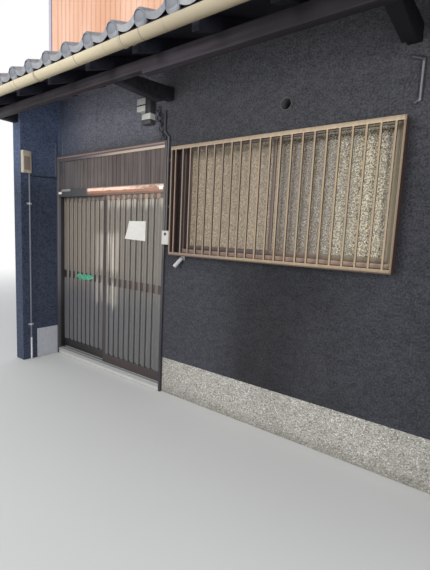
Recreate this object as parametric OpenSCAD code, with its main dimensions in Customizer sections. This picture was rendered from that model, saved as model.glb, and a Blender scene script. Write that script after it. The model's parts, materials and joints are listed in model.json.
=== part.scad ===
// Two-storey machiya townhouse, one house of a row.
// X runs along the street, -Y faces the street, Z is up from the lowest ground.
// The origin is on the ground, in the middle of the house.
// Outlines across the house are given as [out, up]: out from the front wall's face, and height.

/* [House] */
// Middle of the left party wall to the middle of the door post
door_bay = 1820; // [1700:10:2400]
// Middle of the door post to the middle of the second post
window_bay = 1890; // [1800:10:2600]
// Middle of the second post to the middle of the right party wall
end_bay = 940; // [600:10:1800]
// Street face to rear face
house_d = 5600; // [4000:50:9000]
// Thickness of the front and rear walls
wall_t = 120; // [110:5:180]
// Thickness of the party walls
party_t = 150; // [100:5:200]
// Top of the upper floor
storey_z = 2900; // [2860:10:2980]
// Thickness of the upper floor
upper_floor_t = 120; // [80:5:200]
// Thickness of the ground floor
ground_floor_t = 60; // [40:5:70]

/* [Plinth and wing walls] */
// Height of the washed pebble plinth
plinth_h = 335; // [150:5:600]
// How far the plinth stands back from the wall's face
plinth_recess = 5; // [0:1:20]
// How far the wing walls reach out from the front wall
wing_out = 430; // [300:10:550]
// Depth of the dark post at each wing wall's outer edge
wing_post = 160; // [100:5:200]

/* [Entrance] */
// Door post's middle to the right edge of the door opening
door_from_post = 40; // [35:5:60]
// Width of the left jamb
jamb_w = 35; // [25:5:100]
// Width of the right jamb
right_jamb_w = 25; // [20:5:30]
// How far the door's frame stands out from the wall
frame_proud = 20; // [16:1:40]
// Height of the concrete step under the sill
step_h = 35; // [20:5:60]
// Top of the sill
sill_z = 70; // [62:1:90]
// Height of the running rails on the sill
track_h = 6; // [4:1:8]
// Width of the running rails
track_w = 6; // [4:1:10]
// Underside of the head rail
head_z = 1841; // [1700:1:2000]
// Height of the head rail
head_h = 83; // [60:1:120]
// Depth of the grooves in the head rail
groove_h = 10; // [8:1:14]
// Height of the transom panel
transom_h = 304; // [200:1:400]
// Height of the rail over the transom
top_rail_h = 60; // [40:1:90]
// Thickness of the transom panel
transom_t = 24; // [12:1:40]
// Width of the transom panel's upright strips
transom_strip_w = 30; // [15:1:50]
// Height of the strips above the panel's face
transom_strip_t = 6; // [3:1:10]
// Spacing of the strips
transom_pitch = 60; // [50:1:120]

/* [Sliding leaves] */
// Thickness of a leaf
leaf_t = 40; // [30:1:40]
// From the frame's face to the outer leaf
leaf_inset = 15; // [10:1:20]
// Clear space between the two leaves
leaf_gap = 15; // [12:1:20]
// How far the leaves pass each other when shut
leaf_overlap = 50; // [40:1:80]
// Clearance round a leaf
leaf_clear = 5; // [5:1:7]
// Space between the running rails and a leaf's bottom
leaf_lift = 9; // [6:1:12]
// Width of a stile
stile_w = 45; // [35:1:60]
// Height of the top rail
leaf_top_h = 50; // [35:1:80]
// Height of the bottom rail
leaf_bottom_h = 95; // [60:1:150]
// Bottom of the middle rail
mid_rail_z = 920; // [700:5:1100]
// Height of the middle rail
mid_rail_h = 80; // [50:1:120]
// Width of a door slat
slat_w = 42; // [25:1:55]
// Thickness of a door slat
slat_t = 8; // [5:1:12]
// Spacing of the door slats
slat_pitch = 80; // [65:1:110]
// Thickness of the door glass
door_glass_t = 5; // [4:1:8]
// Radius of a leaf's rollers
roller_r = 12; // [10:1:14]
// Width of a leaf's rollers
roller_w = 12; // [8:1:16]
// Clearance between a roller and its rail
roller_clear = 0.3; // [0.2:0.1:0.6]
// From a leaf's edge to the middle of its roller
roller_in = 110; // [60:5:200]
// Height of the finger pull's middle
pull_z = 960; // [850:5:1100]
// Height of the finger pull
pull_h = 110; // [60:5:160]
// Width of the finger pull
pull_w = 24; // [16:1:30]
// Depth of the finger pull
pull_d = 8; // [4:1:12]

/* [Windows] */
// Door post's middle to the street window's edge
window_from_post = 192; // [140:1:200]
// Width of a window
window_w = 1690; // [1200:10:1700]
// Bottom of the ground-floor windows
window_z = 1325; // [900:5:1400]
// Height of the ground-floor windows
window_h = 905; // [600:5:910]
// Upper floor to the bottom of the upper windows
upper_sill = 950; // [700:10:1000]
// Height of the upper windows
upper_window_h = 1000; // [600:10:1100]
// Width of a window frame's bars
window_bar = 14; // [12:1:40]
// Height of a window frame's bottom bar
window_foot = 30; // [20:1:50]
// Depth of a window frame
window_frame_d = 92; // [80:1:100]
// How far a window frame stands out from the wall
window_proud = 8; // [4:1:20]
// Width of a sash's bars
sash_bar = 26; // [20:1:50]
// Height of a sash's bottom bar
sash_foot = 35; // [25:1:60]
// Thickness of a sash
sash_t = 22; // [16:1:28]
// How far the two sashes pass each other
sash_overlap = 35; // [25:1:50]
// Thickness of the window glass
window_glass_t = 5; // [3:1:8]

/* [Window grille] */
// How far the grille reaches past the window on the left
grille_left = 78; // [20:1:90]
// How far the grille reaches past the window on the right
grille_right = 28; // [20:1:60]
// From the window's top down to the grille's top
grille_top = 28; // [0:1:35]
// How far the grille reaches below the window
grille_under = 27; // [10:1:60]
// How far the grille stands out from the wall
grille_out = 100; // [60:5:160]
// Height of the grille's rails
grille_rail_h = 28; // [20:1:45]
// Depth of the grille's rails
grille_rail_d = 24; // [20:1:40]
// Width of the grille's end plates
grille_end_w = 13; // [10:1:30]
// Width of a grille bar
bar_w = 12; // [8:1:24]
// Depth of a grille bar
bar_d = 16; // [10:1:20]
// Spacing of the grille bars
bar_pitch = 80.5; // [50:0.5:120]

/* [Pent roof] */
// Slope of the pent roof in degrees
pent_pitch = 22; // [18:1:24]
// Upper floor's top to where the boarding's top meets the wall
pent_rise = 130; // [125:5:180]
// Wall's face to the end of the boarding
pent_out = 880; // [850:5:1000]
// Wall's face to the middle of the eave beam
beam_out = 630; // [620:5:700]
// Width of the eave beam
beam_w = 60; // [60:5:120]
// Roof's left end to the joint between the beam's two lengths
beam_joint = 2250; // [1200:50:3400]
// How much deeper the beam's right length is
beam_step = 26; // [5:1:40]
// From there down to the underside of the eave beam
beam_drop = 473; // [450:1:540]
// Width of a bracket arm
arm_w = 80; // [60:5:120]
// From there down to the level underside of the bracket arms
arm_drop = 465; // [455:1:495]
// Height of a bracket arm at the beam
arm_tip_h = 85; // [50:1:85]
// Height of a bracket arm at the wall
arm_root_h = 150; // [100:5:200]
// Reach of the curved cut at the arm's root
arm_cut_w = 140; // [60:5:200]
// Height of the curved cut at the arm's root
arm_cut_h = 45; // [20:1:60]
// Height of the flashing on the wall
flashing_h = 80; // [40:5:120]
// Reach of the flashing over the tiles
flashing_out = 110; // [60:5:160]
// Thickness of the flashing's edges
flashing_t = 14; // [8:1:20]

/* [Main roof] */
// Slope of the main roof in degrees
roof_pitch = 24; // [18:1:30]
// Upper floor to where the boarding's top passes over the walls' faces
upper_h = 2550; // [2400:10:3000]
// Walls' faces to the end of the boarding
roof_out = 450; // [350:10:700]
// Width of the ridge's tile courses
ridge_w = 240; // [180:10:300]
// Height of one ridge course
ridge_course_h = 35; // [25:1:50]
// Number of ridge courses
ridge_courses = 3; // [2:1:4]
// How much narrower each ridge course is than the one below
ridge_step = 24; // [10:2:30]
// Radius of the ridge's round cap
ridge_cap_r = 70; // [50:5:75]
// Height of the upright tile at each end of the ridge
ridge_end_h = 330; // [280:10:420]
// Width of that tile
ridge_end_w = 320; // [300:10:420]
// Thickness of that tile
ridge_end_t = 50; // [30:5:70]

/* [Roof build-up] */
// Thickness of the boarding with its bed
deck_t = 50; // [40:5:70]
// Clearance between sloping faces that lie on each other
seat_clear = 0.2; // [0.1:0.1:0.5]
// Depth of a rafter
rafter_h = 75; // [60:5:78]
// Width of a rafter
rafter_w = 50; // [40:5:70]
// Number of rafters on each slope
rafter_count = 11; // [8:1:14]
// From the boarding's end back to the rafters' ends
rafter_back = 28; // [24:1:40]
// Spacing of the tiles along the eaves
tile_w = 250; // [230:5:280]
// Left end of the roof to the middle of the first tile roll
first_roll = 245; // [200:1:250]
// Radius of a tile roll
roll_r = 50; // [40:1:60]
// Height of a roll's middle above the boarding
roll_z = 25; // [20:1:35]
// Height of the pan's lowest line above the boarding
pan_z = 22; // [15:1:30]
// Number of flats that a pan is drawn with
pan_flats = 4; // [3:1:8]
// Thickness of the eave discs
disc_t = 18; // [12:1:25]
// Drop of the eave tiles' aprons below the boarding's top
apron_h = 20; // [10:1:30]
// Thickness of the verge tiles
verge_t = 20; // [15:1:40]
// Height of the verge tiles above the boarding's top
verge_up = 60; // [40:5:75]
// Drop of the verge tiles below the boarding's top
verge_down = 70; // [60:5:100]

/* [Gutters] */
// Outer radius of the gutters
gutter_r = 43; // [38:1:60]
// Thickness of the gutters
gutter_t = 3; // [2:1:5]
// Boarding's end to the middle of the gutter
gutter_from_eave = 55; // [52:1:75]
// Drop from the boarding's top at its end to the gutter's lips
gutter_drop = 80; // [75:1:110]
// Width of a gutter strap
strap_w = 20; // [15:1:30]
// Thickness of a gutter strap
strap_t = 4; // [3:1:6]

/* [Wall fittings] */
// Middle of the vent hole, from the door post's middle
vent_x = 1101; // [900:1:1400]
// Height of the vent hole's middle
vent_z = 2414; // [2350:1:2700]
// Radius of the vent hole
vent_r = 42; // [30:1:60]
// Thickness of the vent's sleeve
vent_t = 3; // [2:1:6]
// Width of the meter box
meter_w = 50; // [40:1:100]
// Reach of the meter box along the wing wall
meter_l = 92; // [80:1:150]
// Height of the meter box
meter_h = 229; // [180:1:300]
// Bottom of the meter box
meter_z = 2054; // [1900:1:2200]
// From the wing wall's outer edge to the meter box
meter_in = 2; // [2:1:100]
// From the meter box's near side to the middle of the conduit below it
meter_pipe_in = 6; // [4:1:9]
// Radius of a conduit
conduit_r = 10; // [7:1:14]
// Clearance between a conduit and the wall behind it
conduit_clear = 0.3; // [0.2:0.1:1]
// How much fatter a conduit is at its elbows
elbow_swell = 1.5; // [1:0.5:3]
// Radius of a thin cable
cable_r = 5; // [3:1:7]
// How far the thin cable starts below the meter box's foot
cable_drop = 24; // [10:2:60]
// How far the conduits end below the arms
pipe_short = 25; // [20:5:60]
// How far the conduit on the door post bends to the left over the door
post_bend = 50; // [30:5:80]
// From the second post's middle out to the conduit beside it
side_bend = 60; // [50:5:90]
// Height at which that conduit turns in
side_pipe_z = 2300; // [2250:10:2400]
// Door post's middle to the small box's left side
small_box_x = 360; // [360:5:400]
// Width and height of the small box
small_box_w = 111; // [80:1:120]
// How far the small box reaches below the arms' underside
small_box_drop = 9; // [0:1:60]
// Door post's middle to the right side of the tall box
tall_box_x = 185; // [60:5:185]
// Width of the tall box
tall_box_w = 60; // [40:1:60]
// Width of the tall box's foot
tall_foot_w = 110; // [60:1:110]
// Height of the tall box's foot
tall_foot_h = 88; // [50:1:88]
// How far the tall box reaches below the arms' underside
tall_box_drop = 125; // [60:5:170]
// Height of the tall box
tall_box_h = 260; // [200:5:300]
// How far both boxes stand out from the wall
box_out = 65; // [40:5:90]
// Width of the door bell
bell_w = 88; // [60:1:100]
// Height of the door bell
bell_h = 123; // [90:1:150]
// Bottom of the door bell
bell_z = 1384; // [1200:1:1500]
// Thickness of the door bell
bell_t = 22; // [15:1:30]
// From the door opening's edge to the door bell
bell_x = 12; // [5:1:15]
// Radius of the pole holder's tube
holder_r = 17; // [12:1:22]
// Length of the pole holder's tube
holder_l = 100; // [90:5:160]
// Street window's edge to the middle of the holder's foot
holder_x = 10; // [0:5:60]
// Clearance between the grille and the pole holder
holder_below = 4; // [4:1:20]
// Wall of the holder's tube
holder_t = 3; // [2:1:5]
// Depth of the holder's open socket
holder_bore = 45; // [30:5:60]
// Width and height of the holder's plate
holder_plate_h = 36; // [36:2:60]
// Thickness of the holder's plate
holder_plate_t = 5; // [4:1:8]
// Turn of the pole holder to the left, in degrees
holder_turn = 45; // [20:5:50]
// Fall of the pole holder towards its mouth, in degrees
holder_fall = 50; // [20:5:60]

/* [Hidden] */
eps = 1;

meter_out = wing_out - meter_in - meter_l;

house_w = door_bay + window_bay + end_bay + party_t;
left_x = -house_w / 2;
right_x = house_w / 2;
room_x = right_x - party_t;
face_y = -house_d / 2;
post_x = left_x + party_t / 2 + door_bay;
second_post_x = post_x + window_bay;

door_x0 = -room_x + jamb_w;
door_x1 = post_x - door_from_post;
front_wall_x = door_x1 + right_jamb_w;
transom_z = head_z + head_h;
top_rail_z = transom_z + transom_h;
over_door_z = top_rail_z + top_rail_h;

leaf_w = (door_x1 - door_x0 - 2 * leaf_clear + leaf_overlap) / 2;
leaf_z0 = sill_z + track_h + leaf_lift;
leaf_z1 = head_z + groove_h - leaf_clear;
outer_leaf_out = frame_proud - leaf_inset;
inner_leaf_out = outer_leaf_out - leaf_t - leaf_gap;
glass_set = leaf_t / 2;

window_x0 = post_x + window_from_post;
upper_window_z = storey_z + upper_sill;
sash_gap = 2;

pent_top_z = storey_z + pent_rise;
beam_z = pent_top_z - beam_drop;
arm_z = pent_top_z - arm_drop;

// Each roof as the height of its boarding over the wall's face, its slope and its reach
roof = [storey_z + upper_h, roof_pitch, roof_out];
pent = [pent_top_z, pent_pitch, pent_out];
wall_top_z = deck_under(roof, 0) - seat_clear;
roll_count = floor((house_w - first_roll - roll_r) / tile_w) + 1;

beam_in = beam_out - beam_w / 2;

// Heights of a roof's layers at a distance out from the wall's face
function deck_top(r, out) = r[0] - out * tan(r[1]);
function deck_under(r, out) = deck_top(r, out) - deck_t / cos(r[1]);
function rafter_under(r, out) = deck_under(r, out) - rafter_h / cos(r[1]);
function tile_crest(r, out) = deck_top(r, out) + (roll_z + roll_r) / cos(r[1]);

// An outline of [out, up] points run along X
module run_x(x0, x1, outline)
    translate([x0, face_y, 0]) rotate([90, 0, 90])
        linear_extrude(x1 - x0) polygon([for (p = outline) [-p[0], p[1]]]);

// A box from one x, out and z to another
module block(x0, x1, out0, out1, z0, z1)
    translate([x0, face_y - out1, z0]) cube([x1 - x0, out1 - out0, z1 - z0]);

// The same on the street side and on the rear side
module both_sides() {
    children();
    rotate([0, 0, 180]) children();
}

// An opening of the given size cut right through a front wall
module wall_cut(x0, w, z0, h)
    block(x0, x0 + w, -wall_t - eps, eps, z0, z0 + h);

// A round bar between two points
module rod(a, b, r) {
    d = b - a;
    translate(a) rotate([0, acos(d[2] / norm(d)), atan2(d[1], d[0])]) cylinder(r = r, h = norm(d), $fn = 24);
}

module plinths() color("silver") {
    block(front_wall_x, room_x, -wall_t, -plinth_recess, 0, plinth_h);
    rotate([0, 0, 180]) block(-room_x, room_x, -wall_t, -plinth_recess, 0, plinth_h);
    for (x = [left_x, room_x])
        block(x, x + party_t, 0, wing_out - wing_post, 0, plinth_h);
}

module ground_floor() color("gray")
    block(-room_x, room_x, wall_t - house_d, -wall_t, 0, ground_floor_t);

module party_wall(x0) color("dimgray")
    run_x(x0, x0 + party_t, [
        [0, 0], [0, wall_top_z],
        [-house_d / 2, deck_under(roof, -house_d / 2) - seat_clear],
        [-house_d, wall_top_z], [-house_d, 0]
    ]);

// The wing walls rise to the pent roof's rafters
module wing_walls() color("dimgray")
    for (x = [left_x, room_x])
        run_x(x, x + party_t, [
            [0, plinth_h], [0, rafter_under(pent, 0) - seat_clear],
            [wing_out, rafter_under(pent, wing_out) - seat_clear], [wing_out, 0],
            [wing_out - wing_post, 0], [wing_out - wing_post, plinth_h]
        ]);

module front_wall() color("dimgray")
    difference() {
        block(front_wall_x, room_x, -wall_t, 0, plinth_h, storey_z);
        wall_cut(window_x0, window_w, window_z, window_h);
        translate([post_x + vent_x, face_y - eps, vent_z]) rotate([-90, 0, 0])
            cylinder(r = vent_r, h = wall_t + 2 * eps, $fn = 48);
    }

module front_wall_over_door() color("dimgray")
    block(-room_x, front_wall_x, -wall_t, 0, over_door_z, storey_z);

module rear_wall() color("dimgray")
    rotate([0, 0, 180]) difference() {
        block(-room_x, room_x, -wall_t, 0, plinth_h, storey_z);
        wall_cut(-window_w / 2, window_w, window_z, window_h);
    }

module upper_floor() color("saddlebrown")
    block(-room_x, room_x, wall_t - house_d, -wall_t, storey_z - upper_floor_t, storey_z);

module upper_wall(window_at) color("sandybrown")
    difference() {
        run_x(-room_x, room_x, [
            [0, storey_z], [0, wall_top_z],
            [-wall_t, deck_under(roof, -wall_t) - seat_clear], [-wall_t, storey_z]
        ]);
        wall_cut(window_at, window_w, upper_window_z, upper_window_h);
    }

module door_posts() color([0.2, 0.17, 0.15]) {
    block(-room_x, door_x0, -wall_t, frame_proud, 0, over_door_z);
    block(door_x1, front_wall_x, -wall_t, frame_proud, 0, over_door_z);
}

module door_step() color("gray")
    block(door_x0, door_x1, -wall_t, frame_proud, 0, step_h);

module door_sill() color([0.3, 0.26, 0.22]) {
    block(door_x0, door_x1, -wall_t, frame_proud, step_h, sill_z);
    for (out = [outer_leaf_out, inner_leaf_out])
        block(door_x0, door_x1, out - leaf_t / 2 - track_w / 2, out - leaf_t / 2 + track_w / 2,
            sill_z, sill_z + track_h);
}

module door_head() color([0.7, 0.42, 0.32])
    difference() {
        block(door_x0, door_x1, -wall_t, frame_proud, head_z, transom_z);
        for (out = [outer_leaf_out, inner_leaf_out])
            block(door_x0 - eps, door_x1 + eps, out - leaf_t - leaf_clear, out + leaf_clear,
                head_z - eps, head_z + groove_h);
    }

module transom_head() color([0.45, 0.38, 0.32])
    block(door_x0, door_x1, -wall_t, frame_proud, top_rail_z, over_door_z);

module transom_panel() color([0.25, 0.2, 0.17]) {
    span = door_x1 - door_x0;
    count = floor((span - transom_strip_w) / transom_pitch) + 1;
    first = door_x0 + (span - (count - 1) * transom_pitch) / 2;
    block(door_x0, door_x1, -transom_t, 0, transom_z, top_rail_z);
    for (i = [0 : count - 1]) {
        x = first + i * transom_pitch;
        block(x - transom_strip_w / 2, x + transom_strip_w / 2, 0, transom_strip_t, transom_z, top_rail_z);
    }
}

// One sliding leaf's parts, from its left edge and its front face
module leaf_frame(x0, out, pull_x) color([0.36, 0.32, 0.27])
    difference() {
        union() {
            for (x = [x0, x0 + leaf_w - stile_w])
                block(x, x + stile_w, out - leaf_t, out, leaf_z0, leaf_z1);
            block(x0, x0 + leaf_w, out - leaf_t, out, leaf_z0, leaf_z0 + leaf_bottom_h);
            block(x0, x0 + leaf_w, out - leaf_t, out, leaf_z1 - leaf_top_h, leaf_z1);
            block(x0, x0 + leaf_w, out - leaf_t, out - slat_t, mid_rail_z, mid_rail_z + mid_rail_h);
            for (x = [x0 + roller_in, x0 + leaf_w - roller_in])
                translate([x, face_y - out + leaf_t / 2 - roller_w / 2,
                        sill_z + track_h + roller_clear + roller_r])
                    rotate([-90, 0, 0]) cylinder(r = roller_r, h = roller_w, $fn = 32);
        }
        block(pull_x - pull_w / 2, pull_x + pull_w / 2, out - pull_d, out + eps,
            pull_z - pull_h / 2, pull_z + pull_h / 2);
    }

module leaf_slats(x0, out) color([0.45, 0.4, 0.34]) {
    span = leaf_w - 2 * stile_w;
    count = floor((span - slat_w) / slat_pitch) + 1;
    first = x0 + stile_w + (span - (count - 1) * slat_pitch) / 2;
    for (i = [0 : count - 1]) {
        x = first + i * slat_pitch;
        block(x - slat_w / 2, x + slat_w / 2, out - slat_t, out,
            leaf_z0 + leaf_bottom_h, leaf_z1 - leaf_top_h);
    }
}

module leaf_glass(x0, out) color([0.5, 0.55, 0.5])
    for (span = [[leaf_z0 + leaf_bottom_h, mid_rail_z], [mid_rail_z + mid_rail_h, leaf_z1 - leaf_top_h]])
        block(x0 + stile_w, x0 + leaf_w - stile_w,
            out - glass_set - door_glass_t / 2, out - glass_set + door_glass_t / 2, span[0], span[1]);

left_leaf_x = door_x0 + leaf_clear;
right_leaf_x = door_x1 - leaf_clear - leaf_w;

module left_leaf_frame() leaf_frame(left_leaf_x, inner_leaf_out, left_leaf_x + stile_w / 2);
module left_leaf_slats() leaf_slats(left_leaf_x, inner_leaf_out);
module left_leaf_glass() leaf_glass(left_leaf_x, inner_leaf_out);
module right_leaf_frame() leaf_frame(right_leaf_x, outer_leaf_out, right_leaf_x + stile_w / 2);
module right_leaf_slats() leaf_slats(right_leaf_x, outer_leaf_out);
module right_leaf_glass() leaf_glass(right_leaf_x, outer_leaf_out);

// A ring of bars with a taller bottom bar, in the wall's plane
module ring(x0, w, z0, h, bar, foot, out0, out1)
    difference() {
        block(x0, x0 + w, out0, out1, z0, z0 + h);
        block(x0 + bar, x0 + w - bar, out0 - eps, out1 + eps, z0 + foot, z0 + h - bar);
    }

// Each window as its left edge, bottom and height, for the street side and the rear
street_windows = [[window_x0, window_z, window_h], [window_x0, upper_window_z, upper_window_h]];
rear_windows = [[-window_w / 2, window_z, window_h], [-window_w / 2, upper_window_z, upper_window_h]];

module each_window() {
    for (w = street_windows) { $x = w[0]; $z = w[1]; $h = w[2]; children(); }
    rotate([0, 0, 180]) for (w = rear_windows) { $x = w[0]; $z = w[1]; $h = w[2]; children(); }
}

sash_w = (window_w - 2 * window_bar + sash_overlap) / 2;
sash_outs = [
    window_proud - window_frame_d / 2 - sash_gap / 2 - sash_t,
    window_proud - window_frame_d / 2 + sash_gap / 2
];

// The two sashes of a window: x and the back of each
function sashes(x) = [
    [x + window_bar, sash_outs[0]],
    [x + window_w - window_bar - sash_w, sash_outs[1]]
];

module window_frames() color([0.5, 0.42, 0.33])
    each_window()
        ring($x, window_w, $z, $h, window_bar, window_foot, window_proud - window_frame_d, window_proud);

module window_sashes() color([0.42, 0.34, 0.27])
    each_window() for (s = sashes($x))
        ring(s[0], sash_w, $z + window_foot, $h - window_foot - window_bar, sash_bar, sash_foot,
            s[1], s[1] + sash_t);

module window_glass() color([0.75, 0.78, 0.72])
    each_window() for (s = sashes($x))
        block(s[0] + sash_bar, s[0] + sash_w - sash_bar,
            s[1] + (sash_t - window_glass_t) / 2, s[1] + (sash_t + window_glass_t) / 2,
            $z + window_foot + sash_foot, $z + $h - window_bar - sash_bar);

module window_grille() color([0.72, 0.6, 0.47]) {
    x0 = window_x0 - grille_left;
    w = window_w + grille_left + grille_right;
    z0 = window_z - grille_under;
    h = window_h + grille_under - grille_top;
    count = floor((w - 2 * grille_end_w - bar_w) / bar_pitch) + 1;
    first = x0 + (w - (count - 1) * bar_pitch) / 2;
    for (z = [z0, z0 + h - grille_rail_h])
        block(x0, x0 + w, grille_out - grille_rail_d, grille_out, z, z + grille_rail_h);
    for (x = [x0, x0 + w - grille_end_w])
        block(x, x + grille_end_w, 0, grille_out, z0, z0 + h);
    for (i = [0 : count - 1]) {
        x = first + i * bar_pitch;
        block(x - bar_w / 2, x + bar_w / 2, grille_out - bar_d, grille_out, z0, z0 + h);
    }
}

// One length of eave beam, its top bevelled to the rafters
module beam_length(x0, x1, under_z) {
    beam_end = beam_in + beam_w;
    run_x(x0, x1, [
        [beam_in, under_z], [beam_in, rafter_under(pent, beam_in) - seat_clear],
        [beam_end, rafter_under(pent, beam_end) - seat_clear], [beam_end, under_z]
    ]);
}

module eave_beams() color([0.24, 0.19, 0.2])
    both_sides() {
        beam_length(left_x, left_x + beam_joint, beam_z);
        beam_length(left_x + beam_joint, right_x, beam_z - beam_step);
    }

// A bracket arm from the wall to the eave beam, cut away in a quarter round at its root
module bracket_arm(x)
    run_x(x - arm_w / 2, x + arm_w / 2, concat(
        [for (a = [0 : 15 : 90]) [arm_cut_w * sin(a), arm_z + arm_cut_h * cos(a)]],
        [[beam_in, arm_z], [beam_in, arm_z + arm_tip_h], [0, arm_z + arm_root_h]]
    ));

// A short arm from a wing wall to the eave beam
module wing_arm(x)
    block(x - arm_w / 2, x + arm_w / 2, wing_out, beam_in, arm_z, arm_z + arm_tip_h);

module bracket_arms() color([0.22, 0.17, 0.18]) {
    for (x = [left_x + party_t / 2, right_x - party_t / 2]) wing_arm(x);
    for (x = [post_x, second_post_x]) bracket_arm(x);
    rotate([0, 0, 180])
        for (x = [left_x + arm_w / 2, -window_w / 2 - party_t, window_w / 2 + party_t, right_x - arm_w / 2])
            bracket_arm(x);
}

module rafter_row(r) {
    pitch = (house_w - rafter_w) / (rafter_count - 1);
    out = r[2] - rafter_back;
    for (i = [0 : rafter_count - 1])
        run_x(left_x + i * pitch, left_x + i * pitch + rafter_w, [
            [0, rafter_under(r, 0)], [0, deck_under(r, 0) - seat_clear],
            [out, deck_under(r, out) - seat_clear], [out, rafter_under(r, out)]
        ]);
}

module rafters() color([0.26, 0.2, 0.2])
    both_sides() {
        rafter_row(roof);
        rafter_row(pent);
    }

// Boarding from the wall or the ridge to the eave, where it ends square to the slope
module deck(r, in)
    run_x(left_x, right_x, [
        [in, deck_under(r, in)], [in, deck_top(r, in)], [r[2], deck_top(r, r[2])],
        [r[2] - deck_t * sin(r[1]), deck_top(r, r[2]) - deck_t * cos(r[1])]
    ]);

module pent_decks() color([0.28, 0.22, 0.2])
    both_sides() deck(pent, 0);

module roof_deck_front() color([0.28, 0.22, 0.2])
    deck(roof, -house_d / 2);

// Across the tiles: a round roll, then a hollow pan, for each tile
roll_foot = 30;
roll_edge = roll_r * cos(roll_foot);
pan_w = tile_w - 2 * roll_edge;
pan_edge_z = roll_z + roll_r * sin(roll_foot);
function pan_height(t) = pan_z + (pan_edge_z - pan_z) * pow(2 * t - 1, 2);
function roll_x(i) = left_x + first_roll + i * tile_w;
function tile_line() = [
    for (i = [0 : roll_count - 1]) each concat(
        [for (a = [180 - roll_foot : -roll_foot : roll_foot])
            [roll_x(i) + roll_r * cos(a), roll_z + roll_r * sin(a)]],
        [for (k = [1 : pan_flats - 1])
            let (t = k / pan_flats) [roll_x(i) + roll_edge + t * pan_w, pan_height(t)]]
    )
];

// A slope of tiles from a height above the wall's face, with discs and aprons along the eave
module tile_slope(r, in) {
    run = (r[2] - in) / cos(r[1]);
    line = [for (p = tile_line()) if (p[0] < right_x) p];
    translate([0, face_y - in, deck_top(r, in)]) rotate([90 + r[1], 0, 0]) {
        linear_extrude(run + disc_t) polygon(concat(
            [[left_x, seat_clear], [left_x, pan_z]], line, [[right_x, pan_z], [right_x, seat_clear]]
        ));
        translate([0, 0, run + seat_clear]) linear_extrude(disc_t) {
            for (i = [0 : roll_count - 1]) translate([roll_x(i), roll_z]) circle(r = roll_r, $fn = 32);
            translate([left_x, -apron_h]) square([house_w, apron_h + pan_z]);
        }
    }
}

module pent_tiles() color("slategray")
    both_sides() tile_slope(pent, 0);

module roof_tiles_front() color("slategray")
    tile_slope(roof, -house_d / 2);

module pent_flashings() color([0.3, 0.3, 0.32])
    both_sides() run_x(left_x + party_t, right_x - party_t, [
        [0, tile_crest(pent, 0)], [0, tile_crest(pent, 0) + flashing_h],
        [flashing_t, tile_crest(pent, 0) + flashing_h],
        [flashing_out, tile_crest(pent, flashing_out) + flashing_t],
        [flashing_out, tile_crest(pent, flashing_out)]
    ]);

// Middle of a gutter across the house
function gutter_at(r) = [r[2] + gutter_from_eave, deck_top(r, r[2]) - gutter_drop];

// A half-round trough or strap, from one radius to another
module half_round(r_in, r_out)
    difference() {
        circle(r = r_out, $fn = 64);
        circle(r = r_in, $fn = 64);
        translate([-r_out - eps, 0]) square([2 * (r_out + eps), r_out + eps]);
    }

module at_gutter(r, x0, x1)
    translate([x0, face_y - gutter_at(r)[0], gutter_at(r)[1]]) rotate([90, 0, 90])
        linear_extrude(x1 - x0) children();

module gutters() color([0.85, 0.8, 0.62])
    both_sides() for (r = [roof, pent]) {
        at_gutter(r, left_x, right_x) half_round(gutter_r - gutter_t, gutter_r);
        for (x = [left_x, right_x - gutter_t])
            at_gutter(r, x, x + gutter_t) intersection() {
                circle(r = gutter_r, $fn = 64);
                translate([-gutter_r, -gutter_r]) square([2 * gutter_r, gutter_r]);
            }
    }

// Straps go under the gutter and back to the rafters' ends
module gutter_straps() color([0.6, 0.55, 0.45]) {
    pitch = (house_w - rafter_w) / (rafter_count - 1);
    both_sides() for (r = [roof, pent], i = [1 : 2 : rafter_count - 2]) {
        x = left_x + i * pitch + (rafter_w - strap_w) / 2;
        tail = gutter_at(r)[0] - gutter_r - r[2] + rafter_back;
        at_gutter(r, x, x + strap_w) {
            half_round(gutter_r, gutter_r + strap_t);
            translate([gutter_r, 0]) square([tail, strap_t]);
            translate([gutter_r, -strap_t]) square([strap_t, strap_t]);
        }
    }
}

// An outline across the ridge, seated on the tiles' crests on both slopes
module on_ridge(x0, x1, w, top) {
    crest = [for (d = [-w / 2, 0, w / 2]) [d, tile_crest(roof, abs(d) - house_d / 2)]];
    translate([x0, 0, 0]) rotate([90, 0, 90]) linear_extrude(x1 - x0)
        polygon(concat(crest, [[w / 2, top], [-w / 2, top]]));
}

module ridge_tiles() color("slategray") {
    crown_z = tile_crest(roof, -house_d / 2);
    x0 = left_x + ridge_end_t;
    x1 = right_x - ridge_end_t;
    on_ridge(x0, x1, ridge_w, crown_z + ridge_course_h);
    for (i = [1 : ridge_courses - 1]) {
        w = ridge_w - i * ridge_step;
        translate([x0, -w / 2, crown_z + i * ridge_course_h]) cube([x1 - x0, w, ridge_course_h]);
    }
    translate([x0, 0, crown_z + ridge_courses * ridge_course_h]) rotate([90, 0, 90])
        linear_extrude(x1 - x0) intersection() {
            circle(r = ridge_cap_r, $fn = 48);
            translate([-ridge_cap_r, 0]) square([2 * ridge_cap_r, ridge_cap_r]);
        }
    for (x = [left_x, right_x - ridge_end_t]) {
        shoulder_z = crown_z + ridge_end_h - ridge_end_w / 2;
        on_ridge(x, x + ridge_end_t, ridge_end_w, shoulder_z);
        translate([x, 0, shoulder_z]) rotate([90, 0, 90]) linear_extrude(ridge_end_t)
            intersection() {
                circle(r = ridge_end_w / 2, $fn = 48);
                translate([-ridge_end_w / 2, 0]) square([ridge_end_w, ridge_end_w / 2]);
            }
    }
}

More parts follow.
